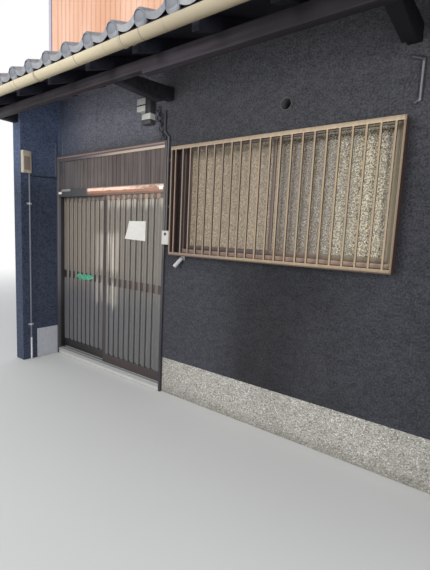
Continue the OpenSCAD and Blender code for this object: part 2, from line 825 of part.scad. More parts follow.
// Verge tiles close the ends of the slopes
module verge(r, in)
    for (x = [left_x - verge_t, right_x])
        run_x(x, x + verge_t, [
            [in, deck_top(r, in) - verge_down], [in, deck_top(r, in) + verge_up],
            [r[2], deck_top(r, r[2]) + verge_up], [r[2], deck_top(r, r[2]) - verge_down]
        ]);

module verge_tiles() color("slategray")
    both_sides() {
        verge(roof, -house_d / 2);
        verge(pent, 0);
    }

module meter_box() color([0.86, 0.82, 0.68])
    block(-room_x, -room_x + meter_w, meter_out, meter_out + meter_l, meter_z, meter_z + meter_h);

// A run of pipe or cable through [x, out, up] points, with a swelled elbow at each bend
module pipe_run(points, r) {
    at = [for (p = points) [p[0], face_y - p[1], p[2]]];
    last = len(at) - 1;
    for (i = [0 : last - 1]) rod(at[i], at[i + 1], r);
    if (last > 1) for (i = [1 : last - 1]) translate(at[i]) sphere(r = r + elbow_swell, $fn = 32);
}

// Conduits and cables that stay on the front: by the meter box, on the door post, by the second post
module conduits() color([0.25, 0.25, 0.28]) {
    pipe_off = conduit_r + elbow_swell + conduit_clear;
    cable_off = cable_r + conduit_clear;
    pipe_out = meter_out + meter_pipe_in;
    pipe_run([[-room_x + pipe_off, pipe_out, 0], [-room_x + pipe_off, pipe_out, meter_z]], conduit_r);
    pipe_run([
        [-room_x + cable_off, meter_out - conduit_r, meter_z - cable_drop],
        [-room_x + cable_off, frame_proud + cable_off, meter_z]
    ], cable_r);
    pipe_run([
        [post_x, pipe_off, bell_z + bell_h],
        [post_x, pipe_off, over_door_z + post_bend / 2],
        [post_x - post_bend, pipe_off, over_door_z + post_bend * 3 / 2],
        [post_x - post_bend, pipe_off, arm_z - pipe_short]
    ], conduit_r);
    pipe_run([
        [second_post_x, pipe_off, arm_z - pipe_short],
        [second_post_x + side_bend, pipe_off, arm_z - 2 * pipe_short],
        [second_post_x + side_bend, pipe_off, side_pipe_z],
        [second_post_x + side_bend / 2, pipe_off, side_pipe_z - side_bend / 3]
    ], conduit_r);
}

module service_boxes() color([0.9, 0.9, 0.88]) {
    block(post_x - small_box_x, post_x - small_box_x + small_box_w, 0, box_out,
        arm_z - small_box_drop, arm_z - small_box_drop + small_box_w);
    tall_x1 = post_x - tall_box_x;
    tall_z0 = arm_z - tall_box_drop;
    block(tall_x1 - tall_box_w, tall_x1, 0, box_out, tall_z0, tall_z0 + tall_box_h);
    block(tall_x1 - tall_foot_w, tall_x1, 0, box_out, tall_z0, tall_z0 + tall_foot_h);
}

// The door bell lies over the jamb and on the wall beside it
module door_bell() color([0.9, 0.88, 0.82]) {
    x0 = door_x1 + bell_x;
    block(x0, x0 + bell_w, frame_proud, frame_proud + bell_t, bell_z, bell_z + bell_h);
    block(front_wall_x, x0 + bell_w, 0, frame_proud + bell_t, bell_z, bell_z + bell_h);
}

module vent_sleeve() color("silver")
    translate([post_x + vent_x, face_y, vent_z]) rotate([-90, 0, 0]) difference() {
        cylinder(r = vent_r, h = wall_t, $fn = 48);
        translate([0, 0, -eps]) cylinder(r = vent_r - vent_t, h = wall_t + 2 * eps, $fn = 48);
    }

// An open tube, turned to the left and falling to its mouth, on a small plate
module pole_holder() color([0.8, 0.8, 0.78]) {
    x = window_x0 + holder_x;
    z = window_z - grille_under - holder_below - holder_plate_h / 2;
    seat = [x, face_y - holder_r, z];
    level = holder_l * cos(holder_fall);
    mouth = seat + [-level * sin(holder_turn), -level * cos(holder_turn), -holder_l * sin(holder_fall)];
    block(x - holder_plate_h / 2, x + holder_plate_h / 2, 0, holder_plate_t,
        z - holder_plate_h / 2, z + holder_plate_h / 2);
    difference() {
        rod(seat, mouth, holder_r);
        rod(seat + (mouth - seat) * (1 - holder_bore / holder_l), mouth + (mouth - seat) * (eps / holder_l),
            holder_r - holder_t);
    }
}

plinths();
ground_floor();
party_wall(left_x);  // party_wall_left
party_wall(room_x);  // party_wall_right
wing_walls();
front_wall();
front_wall_over_door();
rear_wall();
upper_floor();
upper_wall(window_x0);  // upper_front_wall
rotate([0, 0, 180]) upper_wall(-window_w / 2);  // upper_rear_wall
door_posts();
door_step();
door_sill();
door_head();
transom_head();
transom_panel();
left_leaf_frame();
left_leaf_slats();
left_leaf_glass();
right_leaf_frame();
right_leaf_slats();
right_leaf_glass();
window_frames();
window_sashes();
window_glass();
window_grille();
eave_beams();
bracket_arms();
rafters();
pent_decks();
pent_tiles();
pent_flashings();
gutters();
gutter_straps();
roof_deck_front();
rotate([0, 0, 180]) roof_deck_front();  // roof_deck_rear
roof_tiles_front();
rotate([0, 0, 180]) roof_tiles_front();  // roof_tiles_rear
ridge_tiles();
verge_tiles();
meter_box();
conduits();
service_boxes();
door_bell();
vent_sleeve();
pole_holder();
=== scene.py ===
import json
import math

import bmesh
import bpy
from mathutils import Matrix, Vector


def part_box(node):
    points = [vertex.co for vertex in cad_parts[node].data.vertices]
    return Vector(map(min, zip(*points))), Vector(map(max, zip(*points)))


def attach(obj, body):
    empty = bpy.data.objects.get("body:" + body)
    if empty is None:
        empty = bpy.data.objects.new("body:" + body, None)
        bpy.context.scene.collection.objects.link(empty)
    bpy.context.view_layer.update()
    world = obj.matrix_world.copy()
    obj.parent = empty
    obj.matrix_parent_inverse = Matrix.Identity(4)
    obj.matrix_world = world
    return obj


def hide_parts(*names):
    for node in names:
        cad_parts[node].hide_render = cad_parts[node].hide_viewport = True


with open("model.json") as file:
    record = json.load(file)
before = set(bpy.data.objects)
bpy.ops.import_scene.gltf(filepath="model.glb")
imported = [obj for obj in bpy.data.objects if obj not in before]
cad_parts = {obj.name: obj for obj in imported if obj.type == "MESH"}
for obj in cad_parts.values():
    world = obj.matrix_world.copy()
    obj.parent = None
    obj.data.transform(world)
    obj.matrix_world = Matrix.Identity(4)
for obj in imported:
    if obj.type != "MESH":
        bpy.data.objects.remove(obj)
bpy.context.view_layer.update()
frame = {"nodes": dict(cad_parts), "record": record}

nodes = frame["nodes"]
slotOf = {part["node"]: part["material_slot"] for part in frame["record"]["subparts"]}
bodyOf = {n: body for body, names in frame["record"]["behaviour"]["bodies"].items() for n in names}

low, high = {}, {}
for nodeName in nodes:
    low[nodeName], high[nodeName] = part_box(nodeName)
faceY = low["front_wall"].y  # the front wall's outer face
roomX, roomY = high["front_wall"].x, -high["front_wall"].y  # half the room's width and depth
vergeX = high["pent_tiles"].x  # where the roofs end at the right; the left is the same
halfTurn = Matrix.Rotation(math.pi, 4, "Z")  # takes the street side to the rear


def bothForms(operation):  # an operator with the wire before and after the other value
    return (lambda self, other: self.maths(operation, self, other),
            lambda self, other: self.maths(operation, other, self))


class Wire:  # one output socket, with Python's operators adding Math nodes
    def __init__(self, tree, socket=None):
        self.tree = tree
        self.socket = socket

    def add(self, kind, settings=None, values=None, output=0):
        node = self.tree.nodes.new(kind)
        for name, value in (settings or {}).items():
            if name == "stops":
                ramp = node.color_ramp
                while len(ramp.elements) < len(value):
                    ramp.elements.new(0.5)
                for element, (place, colour) in zip(ramp.elements, value):
                    element.position = place
                    element.color = (*colour, 1)
            else:
                setattr(node, name, value)
        for name, value in (values or {}).items():
            if isinstance(value, Wire):
                self.tree.links.new(value.socket, node.inputs[name])
            else:
                node.inputs[name].default_value = value
        return Wire(self.tree, node.outputs[output])

    def maths(self, operation, *values):  # on the values given, or on this wire alone
        return self.add("ShaderNodeMath", {"operation": operation}, dict(enumerate(values or [self])))

    __add__, __radd__ = bothForms("ADD")
    __sub__, __rsub__ = bothForms("SUBTRACT")
    __mul__, __rmul__ = bothForms("MULTIPLY")
    __truediv__, __rtruediv__ = bothForms("DIVIDE")

    def __gt__(self, other):
        return self.maths("GREATER_THAN", self, other)

    def __lt__(self, other):
        return self.maths("LESS_THAN", self, other)

    def __abs__(self):
        return self.maths("ABSOLUTE")


# Shader helpers
def between(wire, start, end):  # 0 before start, 1 after end, smooth between
    return wire.add("ShaderNodeMapRange", {"interpolation_type": "SMOOTHSTEP"},
                    {"Value": wire, "From Min": start, "From Max": end})


def mix(amount, first, second, blend="MIX"):
    owner = next(w for w in (amount, first, second) if isinstance(w, Wire))
    first, second = [(*c, 1) if isinstance(c, tuple) else c for c in (first, second)]
    return owner.add("ShaderNodeMix", {"data_type": "RGBA", "blend_type": blend},
                     {0: amount, 6: first, 7: second}, 2)


def shaded(tone, light, amount=1.0):  # a colour made darker or lighter
    return mix(amount, tone, light.add("ShaderNodeCombineColor", {}, {i: light for i in range(3)}), "MULTIPLY")


def dimmed(colour, share=0.86):
    return tuple(share * c for c in colour)


# Fades: the name of a wire, and the values where it starts and where it is complete
def above(axis, limit, soft=0.001):
    return axis, limit, limit + soft


def below(axis, limit, soft=0.001):
    return axis, limit, limit - soft


def band(axis, start, end, soft=0.001):  # two fades that leave only what lies between
    return above(axis, start - soft / 2, soft), below(axis, end + soft / 2, soft)


def seenRays(wire):  # what the camera sees, directly or in metal and glass
    return sum(wire.add("ShaderNodeLightPath", output=f"Is {kind} Ray")
               for kind in ("Camera", "Glossy", "Transmission"))


class Finish:  # one material, with its Principled shader
    def __init__(self, name, grains=None):
        self.grains = grains
        self.material = bpy.data.materials.new(name)
        self.material.use_nodes = True
        self.tree = self.material.node_tree
        self.shader = self.tree.nodes["Principled BSDF"]
        self.place = Wire(self.tree).add("ShaderNodeTexCoord", output="Object")
        self.x, self.y, self.z = [self.place.add("ShaderNodeSeparateXYZ", {}, {"Vector": self.place}, i)
                                  for i in range(3)]

    def __getattr__(self, label):  # a grain becomes a wire of its name when it is first read
        setattr(self, label, self.noise(*self.grains[label]))
        return getattr(self, label)

    def noise(self, size, detail=3.0, rough=0.5):  # even, or drawn out along the axes with a small size
        place = self.place
        if isinstance(size, tuple):
            place = place.add("ShaderNodeMapping", {}, {"Vector": place, "Scale": size})
            size = 1.0
        return place.add("ShaderNodeTexNoise", {}, {
            "Vector": place, "Scale": size, "Detail": detail, "Roughness": rough})

    def cells(self, size, output=0, feature="F1"):
        return self.place.add("ShaderNodeTexVoronoi", {"feature": feature},
                              {"Vector": self.place, "Scale": size}, output)

    def share(self, name, *ends):  # how far a fade has come; without ends it is the wire itself
        return between(getattr(self, name), *ends) if ends else getattr(self, name)

    def colour(self, value):  # a colour, or a fade and the two colours that it goes between
        if isinstance(value, Wire) or isinstance(value[0], float):
            return value
        fade, first, second = value
        return mix(self.share(*fade), self.colour(first), self.colour(second))

    def painted(self, tone, zones, mask=1.0):  # a zone is a share, a colour and its fades
        tone = self.colour(tone)
        for amount, colour, *fades in zones:
            amount = amount * mask
            for fade in fades:
                amount = amount * self.share(*fade)
            tone = mix(amount, tone, self.colour(colour))
        return tone

    def level(self, value):  # a number, or least, more and the name of the wire it follows
        return value[0] + value[1] * getattr(self, value[2]) if isinstance(value, tuple) else value

    def set(self, **values):
        for name, value in values.items():
            socket = self.shader.inputs[name.replace("_", " ")]
            value = self.level(value)
            if isinstance(value, Wire):
                self.tree.links.new(value.socket, socket)
            else:
                socket.default_value = value
        return self.material

    def bump(self, height, depth, strength):
        return self.set(Normal=height.add("ShaderNodeBump", {}, {
            "Height": height, "Distance": depth, "Strength": strength}))


def dressed(name, look):  # a finish that its dictionary describes in full
    f = Finish(name, look.get("grains"))
    for label, (axis, reach, grain) in look.get("ragged", {}).items():  # an axis that a grain disturbs
        setattr(f, label, getattr(f, axis) + reach * getattr(f, grain))
    tone = f.painted(look["base"], look.get("zones", ()))
    if "shade" in look:
        amount, light = look["shade"]
        tone = f.painted(shaded(tone, f.level(light), amount), look.get("over", ()))
    f.set(Base_Color=tone, **look["shader"])
    if "bump" in look:
        height, depth, strength = look["bump"]
        f.bump(getattr(f, height) if isinstance(height, str) else f.noise(height, 2.0), depth, strength)
    return f.material


print("stage: materials")

mortarLook = {
    "grains": {"clouds": (1.3, 4.0, 0.6), "fine": (75.0, 3.0, 0.7), "coarse": ((22, 22, 34), 4.0, 0.7),
               "runs": ((14, 14, 0.7), 2.0), "dust": (2.0,)},
    "base": (("clouds", 0.35, 0.68), (0.024, 0.0245, 0.028), (0.036, 0.0365, 0.041)),
    "street": [
        (0.70, (0.052, 0.053, 0.064), ("x", 0.40, -0.10), ("z", 1.40, 1.10)),  # paler low beside the door post, painted light bounced from the ground
        (0.35, (0.052, 0.053, 0.064), ("x", 0.85, 1.35)),  # paler towards the right end, painted light
        (0.45, (0.014, 0.014, 0.015), ("x", 0.12, 0.42), ("x", 0.92, 0.62), ("z", 1.25, 0.95)),  # damp patch
        (0.85, (0.078, 0.079, 0.087), ("z", 1.70, 2.65)),  # painted light under the eave, against its shadow
        (0.90, (0.150, 0.151, 0.180), ("x", -0.50, -0.75), ("z", 2.20, 2.50)),  # painted light over the door, against the eave's shadow
        (0.75, (0.048, 0.063, 0.103), ("x", -1.60, -2.20)),  # painted bluish sky light towards the wing wall
        (0.85, (0.085, 0.112, 0.185), ("x", -2.20, -2.25), ("z", 1.80, 2.30)),  # painted bluish light, brighter on its upper part
    ],
    "speckle": (0.40, 0.80, 0.40),  # least brightness, and what the fine and the coarse grain add
    "sparkle": (0.8, 2.42, 2.72),  # painted light under the eave: brighter grain, from and to these heights
    "streaks": (0.15, (0.052, 0.053, 0.064), ("runs", 0.58, 0.75)),
    "plaster": (0.52, 0.48, 0.41),
    "pits": 120.0,
    "depth": 0.006,
}


def mortar():
    p = mortarLook
    f = Finish("darkMortar", p["grains"])
    street = (f.y < faceY + 0.01) * (abs(f.x) < vergeX - 0.002)
    tone = f.painted(p["base"], p["street"], street)
    least, fine, coarse = p["speckle"]
    speckle = least + fine * between(f.fine, 0.30, 0.70) + coarse * between(f.coarse, 0.30, 0.72)
    # the wall made brighter under the eave: painted light
    more, *heights = p["sparkle"]
    tone = shaded(tone, speckle * (1 + more * between(f.z, *heights) * street))
    inside = (abs(f.x) < roomX + 0.001) * (abs(f.y) < roomY + 0.001)
    plaster = mix(f.dust, p["plaster"], dimmed(p["plaster"]))
    f.set(Base_Color=mix(inside, f.painted(tone, [p["streaks"]]), plaster), Roughness=0.9, Specular_IOR_Level=0.18)
    return f.bump(f.fine * 0.7 + (1 - f.cells(p["pits"])) * 0.5, p["depth"], 0.9)


pebbleLook = {
    "grains": {"drops": (9.0,), "clouds": (3.0, 5.0)},
    "stones": [(0.0, (0.11, 0.10, 0.085)), (0.25, (0.28, 0.26, 0.22)), (0.5, (0.46, 0.44, 0.39)),
               (0.8, (0.37, 0.36, 0.33)), (1.0, (0.68, 0.66, 0.62))],
    "zones": [
        (1.0, (0.28, 0.27, 0.245), ("fromStone", 0.45, 0.62)),  # cement
        (0.45, (0.12, 0.11, 0.09), ("splash", 0.14, 0.02)),  # dirt along the ground
        (0.30, (0.12, 0.11, 0.09), ("clouds", 0.45, 0.75)),
        (0.55, (0.60, 0.63, 0.72), *band("x", -2.39, -2.1), below("y", faceY)),  # painted pale bluish light, on the wing wall
    ],
    "size": 115.0,
}


def pebble():
    p = pebbleLook
    f = Finish("washedPebble", p["grains"])
    f.fromStone = f.cells(p["size"])
    f.splash = f.z + 0.07 * f.drops
    tint = f.cells(p["size"], "Color")
    red = tint.add("ShaderNodeSeparateXYZ", {}, {"Vector": tint})
    stones = red.add("ShaderNodeValToRGB", {"stops": p["stones"]}, {"Fac": red})
    f.set(Base_Color=f.painted(stones, p["zones"]), Roughness=0.8, Specular_IOR_Level=0.3)
    return f.bump(1 - f.fromStone, 0.004, 0.8)


concreteLook = {
    "grains": {"clouds": (6.0, 6.0, 0.65), "pits": (80.0, 4.0)},
    "base": (("clouds",), (0.30, 0.29, 0.27), (0.52, 0.51, 0.48)),
    "shader": {"Roughness": 0.85, "Specular_IOR_Level": 0.3},
    "bump": ("pits", 0.002, 0.6),
}

boardLook = {"dark": (0.20, 0.12, 0.065), "light": (0.36, 0.24, 0.14), "seam": (0.03, 0.02, 0.015), "width": 0.15}


def board():
    f = Finish("floorBoards", {"grain": ((2, 60, 60), 4.0)})
    p = boardLook
    seam = (f.y / p["width"]).maths("FRACT") < 0.02
    f.set(Base_Color=mix(seam * 0.8, mix(f.grain, p["dark"], p["light"]), p["seam"]), Roughness=0.6)
    return f.bump(f.grain * (1 - seam), 0.002, 0.5)


postLook = {
    "grains": {"runs": ((30, 30, 1.6), 4.0, 0.6), "spots": (55.0, 4.0, 0.7)},
    "base": (("runs", 0.3, 0.7), (0.028, 0.026, 0.032), (0.052, 0.048, 0.056)),
    "zones": [
        (1.0, (0.105, 0.088, 0.085), above("x", -1.0), ("z", 1.20, 1.45), ("runs", 0.1, 0.4)),  # above the bell
        (1.0, (0.018, 0.017, 0.019), below("x", -1.0), ("z", 0.9, 0.5)),  # at the left post's foot
        (1.0, (("z", 0.5, 1.0), (0.065, 0.063, 0.070), (0.160, 0.148, 0.158)),  # its street side, paler upwards
         below("y", low["door_posts"].y + 0.028, 0.0001), below("x", -1.0), ("runs", 0.1, 0.4)),
        (0.35, (0.14, 0.12, 0.12), ("spots", 0.60, 0.78)),
    ],
    "shader": {"Metallic": 0.35, "Roughness": (0.45, 0.2, "runs")},
    "bump": (160.0, 0.0006, 0.3),
}

copperLook = {
    "grains": {"patch": ((9, 9, 40), 5.0, 0.65)},
    "ragged": {"edge": ("z", 0.03, "patch")},
    "base": (0.92, 0.63, 0.50),
    "zones": [
        (0.55, (0.32, 0.145, 0.090), ("patch", 0.52, 0.66)),
        (1.0, (("patch", 0.42, 0.58), (0.66, 0.56, 0.43), (0.32, 0.145, 0.090)), ("x", -1.08, -0.78)),
        (1.0, (0.32, 0.145, 0.090), ("edge", 1.904, 1.898)),  # the rubbed lower face
        (1.0, (0.150, 0.085, 0.062), ("edge", 1.884, 1.874)),  # the underside
        (1.0, (0.26, 0.20, 0.165), ("z", 1.912, 1.916)),  # the thin lip along the top
        (1.0, (0.060, 0.062, 0.062), ("x", -1.64, -1.69)),  # no bare copper left of here
        (0.7, (0.34, 0.36, 0.34), *band("x", -2.15, -1.98), ("z", 1.895, 1.905)),
        (1.0, (0.84, 0.83, 0.76), *band("x", -0.60, -0.555), *band("z", 1.872, 1.898)),  # the two pale ends
        (1.0, (0.84, 0.83, 0.76), below("x", -2.15), *band("z", 1.872, 1.898)),
    ],
    "shader": {"Roughness": 0.45},
    "bump": ("patch", 0.001, 0.4),
}

transomRailLook = {
    "grains": {"streak": ((3, 3, 60), 4.0, 0.6)},
    "base": (0.080, 0.073, 0.082),
    "zones": [
        (1.0, (0.44, 0.35, 0.28), ("x", -1.9, -0.9)),  # the lip is lit at the right
        (1.0, (0.085, 0.055, 0.052), ("z", 2.249, 2.252)),  # the face above the lip
        (0.8, (0.26, 0.205, 0.185), *band("z", 2.264, 2.277)),  # a rubbed line along it
    ],
    "shade": (0.6, (0.6, 0.8, "streak")),
    "shader": {"Roughness": 0.5},
    "bump": ("streak", 0.001, 0.4),
}

transomBoardLook = {
    "grains": {"grain": ((40, 40, 1.2), 4.0, 0.6), "dust": (2.2,)},
    "base": (("grain", 0.3, 0.7), (0.050, 0.037, 0.035), (0.115, 0.090, 0.082)),
    "zones": [
        (0.4, (0.15, 0.130, 0.118), ("dust", 0.45, 0.7)),
        # bluish grey towards the left: painted bluish light, as on the wing wall
        (0.45, (0.060, 0.060, 0.072), ("x", -1.5, -2.1)),
    ],
    "shader": {"Roughness": 0.6},
    "bump": ("grain", 0.001, 0.5),
}

leafLook = {
    "grains": {"drift": (4.0,), "streaks": ((34, 34, 0.8), 4.0, 0.6), "runs": ((70, 70, 2.2), 4.0, 0.6),
               "flecks": ((60, 60, 28), 3.0, 0.7), "skin": ((120, 120, 8), 2.0), "figure": (60.0,),
               "blots": (40.0, 5.0, 0.7), "patch": (25.0,)},
    "lower": (0.106, 0.105, 0.111),
    "upper": (0.198, 0.172, 0.146),
    "turn": (0.75, 1.25),  # lower turns to upper between these heights
    "right": (0.45, (0.088, 0.090, 0.078), ("x", -1.6, -0.8)),
    "shine": (0.56, 0.51, 0.44),
    "shines": ((0.70, 0.93), (1.06, 1.44), (1.72, 1.84)),  # heights of the bleached patches, which also carry a painted sky reflection
    "shineMiddle": -1.38,
    "slats": [(0.3, (0.050, 0.030, 0.027), *band("z", 0.918, 1.002), ("x", -1.35, -1.15))],  # rust
    "frame": [
        (1.0, (0.040, 0.030, 0.029), *band("x", -1.409, -1.341)),  # the two stiles that meet
        (0.85, (("stripes",), (0.075, 0.060, 0.054),  # the copper rail's reflections along the top
                (("x", -1.55, -1.35), (0.198, 0.172, 0.146), (0.33, 0.200, 0.135))), above("z", 1.795)),
        # the foot, near-black at the left leaf as painted shade of its deeper track, and the middle rail
        (1.0, (("x", -2.0, -1.1), (0.014, 0.015, 0.015), (0.040, 0.030, 0.029)), below("z", 0.181)),
        (1.0, (("x", -1.65, -1.45), (0.014, 0.015, 0.015), (0.050, 0.030, 0.027)), *band("z", 0.918, 1.002)),
    ],
    "pitch": 0.080,  # of the slats
}


def leafTone(f, share):  # weathering and a painted sky reflection, shared by slats, frames and panes of both leaves
    p = leafLook
    tone = mix(between(f.z + 0.15 * f.drift, *p["turn"]), p["lower"], p["upper"])
    near = between(abs(f.x - p["shineMiddle"]), 0.32, 0.06)
    foot, middle, top = [between(f.z + 0.25 * f.streaks, start + 0.10, start + 0.18) * between(
        f.z - 0.25 * f.streaks, end - 0.08, end - 0.16) for start, end in p["shines"]]
    # bleached patches, with a painted sky reflection
    shine = near * (foot + middle) + 0.8 * top * between(f.x, -1.62, -1.50)
    tone = mix(shine * between(f.streaks, 0.38, 0.58) * share, f.painted(tone, [p["right"]]), p["shine"])
    return shaded(tone, 0.45 + 0.9 * f.runs + 0.25 * between(f.flecks, 0.30, 0.70), 0.7)


def slatMetal():
    p = leafLook
    f = Finish("slatMetal", p["grains"])
    f.set(Base_Color=f.painted(leafTone(f, 0.75), p["slats"]), Metallic=0.2, Roughness=0.5)
    return f.bump(f.skin, 0.0008, 0.3)


def frameMetal():
    p = leafLook
    f = Finish("frameMetal", p["grains"])
    offMiddle = ((f.x - low["right_leaf_slats"].x) / p["pitch"] + 0.24).maths("FRACT") - 0.5
    f.stripes = between(abs(offMiddle), 0.31, 0.22) * between(f.patch, 0.30, 0.55)
    f.set(Base_Color=f.painted(leafTone(f, 0.5), p["frame"]), Metallic=0.2, Roughness=0.5)
    return f.bump(f.noise(140.0, 2.0), 0.0006, 0.3)


glassLook = {
    "grains": {"folds": ((15, 15, 0.35), 2.0), "stripes": ((60, 60, 0.4), 2.0), "grit": (95.0, 2.0, 0.6),
               "sparks": (160.0, 2.0, 0.8), "figure": (60.0,)},
    "west": (0.315, 0.245, 0.160),
    "middle": (0.100, 0.068, 0.030),
    "east": ((0.095, 0.070, 0.036), (0.52, 0.44, 0.26)),
    "zones": (0.50, 0.60, 0.93, 1.18),  # where west turns to middle, and middle to east
    # painted shadow of the upper rail along the top of the panes
    "top": (0.45, (0.060, 0.055, 0.038), ("z", 2.08, 2.17)),
    "cells": 150.0,
}


def figured(f, rough):  # the moulded face that all the panes share
    face = f.cells(glassLook["cells"], feature="SMOOTH_F1")
    f.set(Roughness=rough, Coat_Weight=0.25, Coat_Roughness=0.15)
    f.bump(face + 0.4 * f.figure, 0.0035, 0.9)
    return face


def doorGlass():
    f = Finish("figuredDoorGlass", leafLook["grains"])
    # painted light: the panes lighter than the leaves, against the shade between the slats
    tone = shaded(leafTone(f, 0.5), 1.35 + 0.80 * f.blots, 0.5)
    return f.set(Base_Color=shaded(tone, 0.75 + 0.8 * figured(f, 0.3), 0.4))


def windowGlass():
    p = glassLook
    f = Finish("figuredWindowGlass", p["grains"])
    figured(f, 0.16)
    grit = between(f.grit, 0.42, 0.60)
    west = shaded(p["west"], 0.20 + 0.65 * f.folds + 0.35 * f.stripes + 0.50 * grit)
    middle = shaded(p["middle"], 0.6 + 0.8 * grit)
    east = mix(grit * (0.45 + 0.75 * between(f.folds, 0.35, 0.6)), *p["east"])
    tone = mix(between(f.x, *p["zones"][:2]), west, middle)
    tone = mix(between(f.x + 0.25 * f.folds, *p["zones"][2:]), tone, east)
    return f.set(Base_Color=shaded(f.painted(tone, [p["top"]]), 0.72 + 0.5 * between(f.sparks, 0.40, 0.66)))


windowLook = {
    "grains": {"runs": ((30, 30, 3), 4.0, 0.6)},
    "base": (0.082, 0.060, 0.056),
    "zones": [(1.0, (0.125, 0.086, 0.066), ("x", 0.35, 0.60)), (1.0, (0.140, 0.108, 0.062), ("x", 0.85, 1.05))],
    "shade": (0.8, (0.55, 0.9, "runs")),
    "shader": {"Metallic": 0.2, "Roughness": 0.45},
    "bump": (140.0, 0.0006, 0.3),
}
windowFrameLook = {**windowLook, "zones": windowLook["zones"] + [  # with paler lower bars
    (1.0, (0.235, 0.155, 0.115), below("z", 1.36)), (1.0, (0.235, 0.155, 0.115), *band("z", 3.8, 3.885))]}

grilleLow, grilleHigh = low["window_grille"], high["window_grille"]
grilleLook = {
    "grains": {"runs": ((40, 40, 2), 4.0, 0.6), "spots": (55.0, 4.0, 0.7)},
    "base": (("x", 0.5, -0.1), (0.222, 0.162, 0.094), (0.195, 0.143, 0.108)),
    "zones": [(0.7, (0.36, 0.280, 0.190), above("z", grilleHigh.z - 0.03, 0.0001))],  # the upper rail paler, painted light
    "shade": (0.8, (0.55, 0.9, "runs")),
    "over": [
        (0.3, (0.36, 0.280, 0.190), ("spots", 0.60, 0.78)),
        (0.5, (0.075, 0.046, 0.038), above("x", grilleHigh.x - 0.012, 0.0001)),  # painted shade on the right end plate
        (1.0, (0.075, 0.046, 0.038), above("y", grilleLow.y + 0.0025, 0.0001)),  # painted shade on the sides of the bars
        (1.0, (0.075, 0.046, 0.038), below("z", grilleLow.z + 0.009, 0.0001)),  # painted shade on the lower rail's foot
    ],
    "shader": {"Metallic": 0.2, "Roughness": 0.45},
    "bump": (160.0, 0.0006, 0.3),
}

timberTones = {  # shade, light, weathered
    "eave": ((0.024, 0.021, 0.026), (0.060, 0.050, 0.060), (0.110, 0.094, 0.108)),
    "arm": ((0.018, 0.018, 0.024), (0.040, 0.038, 0.048), (0.066, 0.062, 0.076)),
    # near-black and bluish: painted shade on the soffit boards and rafters
    "roof": ((0.010, 0.011, 0.018), (0.017, 0.018, 0.029), (0.022, 0.022, 0.032)),
}


def timber(name, kind):  # all of it turns darker to the right
    shade, light, worn = timberTones[kind]
    return dressed(name, {
        "grains": {"grain": ((1.5, 32, 32), 6.0, 0.65), "weather": (2.5, 4.0)},
        "base": (("grain", 0.3, 0.7), shade, light),
        "zones": [(0.45, worn, ("weather", 0.5, 0.75)), (0.80, dimmed(shade, 0.6), ("x", 0.2, 1.0))],
        "shader": {"Roughness": 0.72, "Specular_IOR_Level": 0.25},
        "bump": ("grain", 0.003, 0.8),
    })


tileLook = {
    "grains": {"cloud": (7.0, 5.0, 0.6), "growth": (14.0, 6.0, 0.7), "pits": (90.0, 4.0)},
    "base": (("lit", 0.3, 0.8), (0.165, 0.170, 0.186), (0.350, 0.360, 0.382)),
    "zones": [
        (0.45, (0.36, 0.37, 0.27), ("growth", 0.57, 0.72)),  # lichen
        # the eave discs darker: painted shade
        (0.75, (0.135, 0.145, 0.170), ("disc",)),
    ],
    "disc": (0.40, 0.024),  # its share of a tile's width, and how far in from the eave
    "width": 0.25,
    "edge": 10.198,  # puts a tile's edge at a whole number of widths
    "course": 0.2165,  # seen from above
}


def roofTile():
    p = tileLook
    f = Finish("smokedTile", p["grains"])
    across = (f.x + p["edge"]) / p["width"]
    column = across.maths("FLOOR")
    row = ((f.y + 10.0) / p["course"]).maths("FLOOR")
    one = column.add("ShaderNodeTexWhiteNoise", {"noise_dimensions": "2D"},
                     {"Vector": column.add("ShaderNodeCombineXYZ", {}, {0: column, 1: row})})
    f.lit = f.cloud * 0.9 + one * 0.20
    width, depth = p["disc"]
    f.disc = (across.maths("FRACT") < width) * (abs(f.y) > high["pent_tiles"].y - depth)
    f.set(Base_Color=f.painted(p["base"], p["zones"]), Roughness=(0.42, 0.25, "cloud"))
    return f.bump(f.pits, 0.0015, 0.5)


foldedLook = {
    "grains": {"clouds": (5.0, 5.0)},
    "base": (("clouds",), (0.060, 0.058, 0.060), (0.13, 0.125, 0.125)),
    "shader": {"Metallic": 0.4, "Roughness": 0.55},
}

gutterLook = {
    "grains": {"sun": ((1.5, 8, 8), 4.0), "runs": ((22, 4, 4), 4.0, 0.6), "ripple": (40.0,)},
    "base": (("sun",), (0.46, 0.385, 0.250), (0.66, 0.580, 0.430)),
    "zones": [
        (0.68, (0.25, 0.205, 0.140), ("x", -0.6, 0.5)),  # duller to the right
        (0.30, (0.17, 0.13, 0.085), ("runs", 0.58, 0.74)),
        *((0.7, (0.17, 0.13, 0.085), *band("x", joint - 0.004, joint + 0.004, 0.004))
          for joint in (-1.95, -1.245, -0.452, 0.166, 1.05, 1.90)),
    ],
    "shader": {"Roughness": 0.55, "Specular_IOR_Level": 0.4},
    "bump": ("ripple", 0.001, 0.2),
}

sidingLook = {
    "grains": {"fade": ((2.2, 2.2, 0.5), 4.0), "runs": ((16, 16, 0.6), 5.0, 0.65)},
    "base": (("fade", 0.35, 0.65), (0.67, 0.365, 0.235), (0.78, 0.49, 0.355)),
    "zones": [
        (0.35, (0.44, 0.20, 0.115), ("runs", 0.62, 0.78)),  # rust
        (1.0, mortarLook["plaster"], *band("y", -roomY - 0.001, roomY + 0.001)),  # inside
    ],
    "shader": {"Roughness": 0.5, "Specular_IOR_Level": 0.4},
    "bump": (30.0, 0.001, 0.2),
}

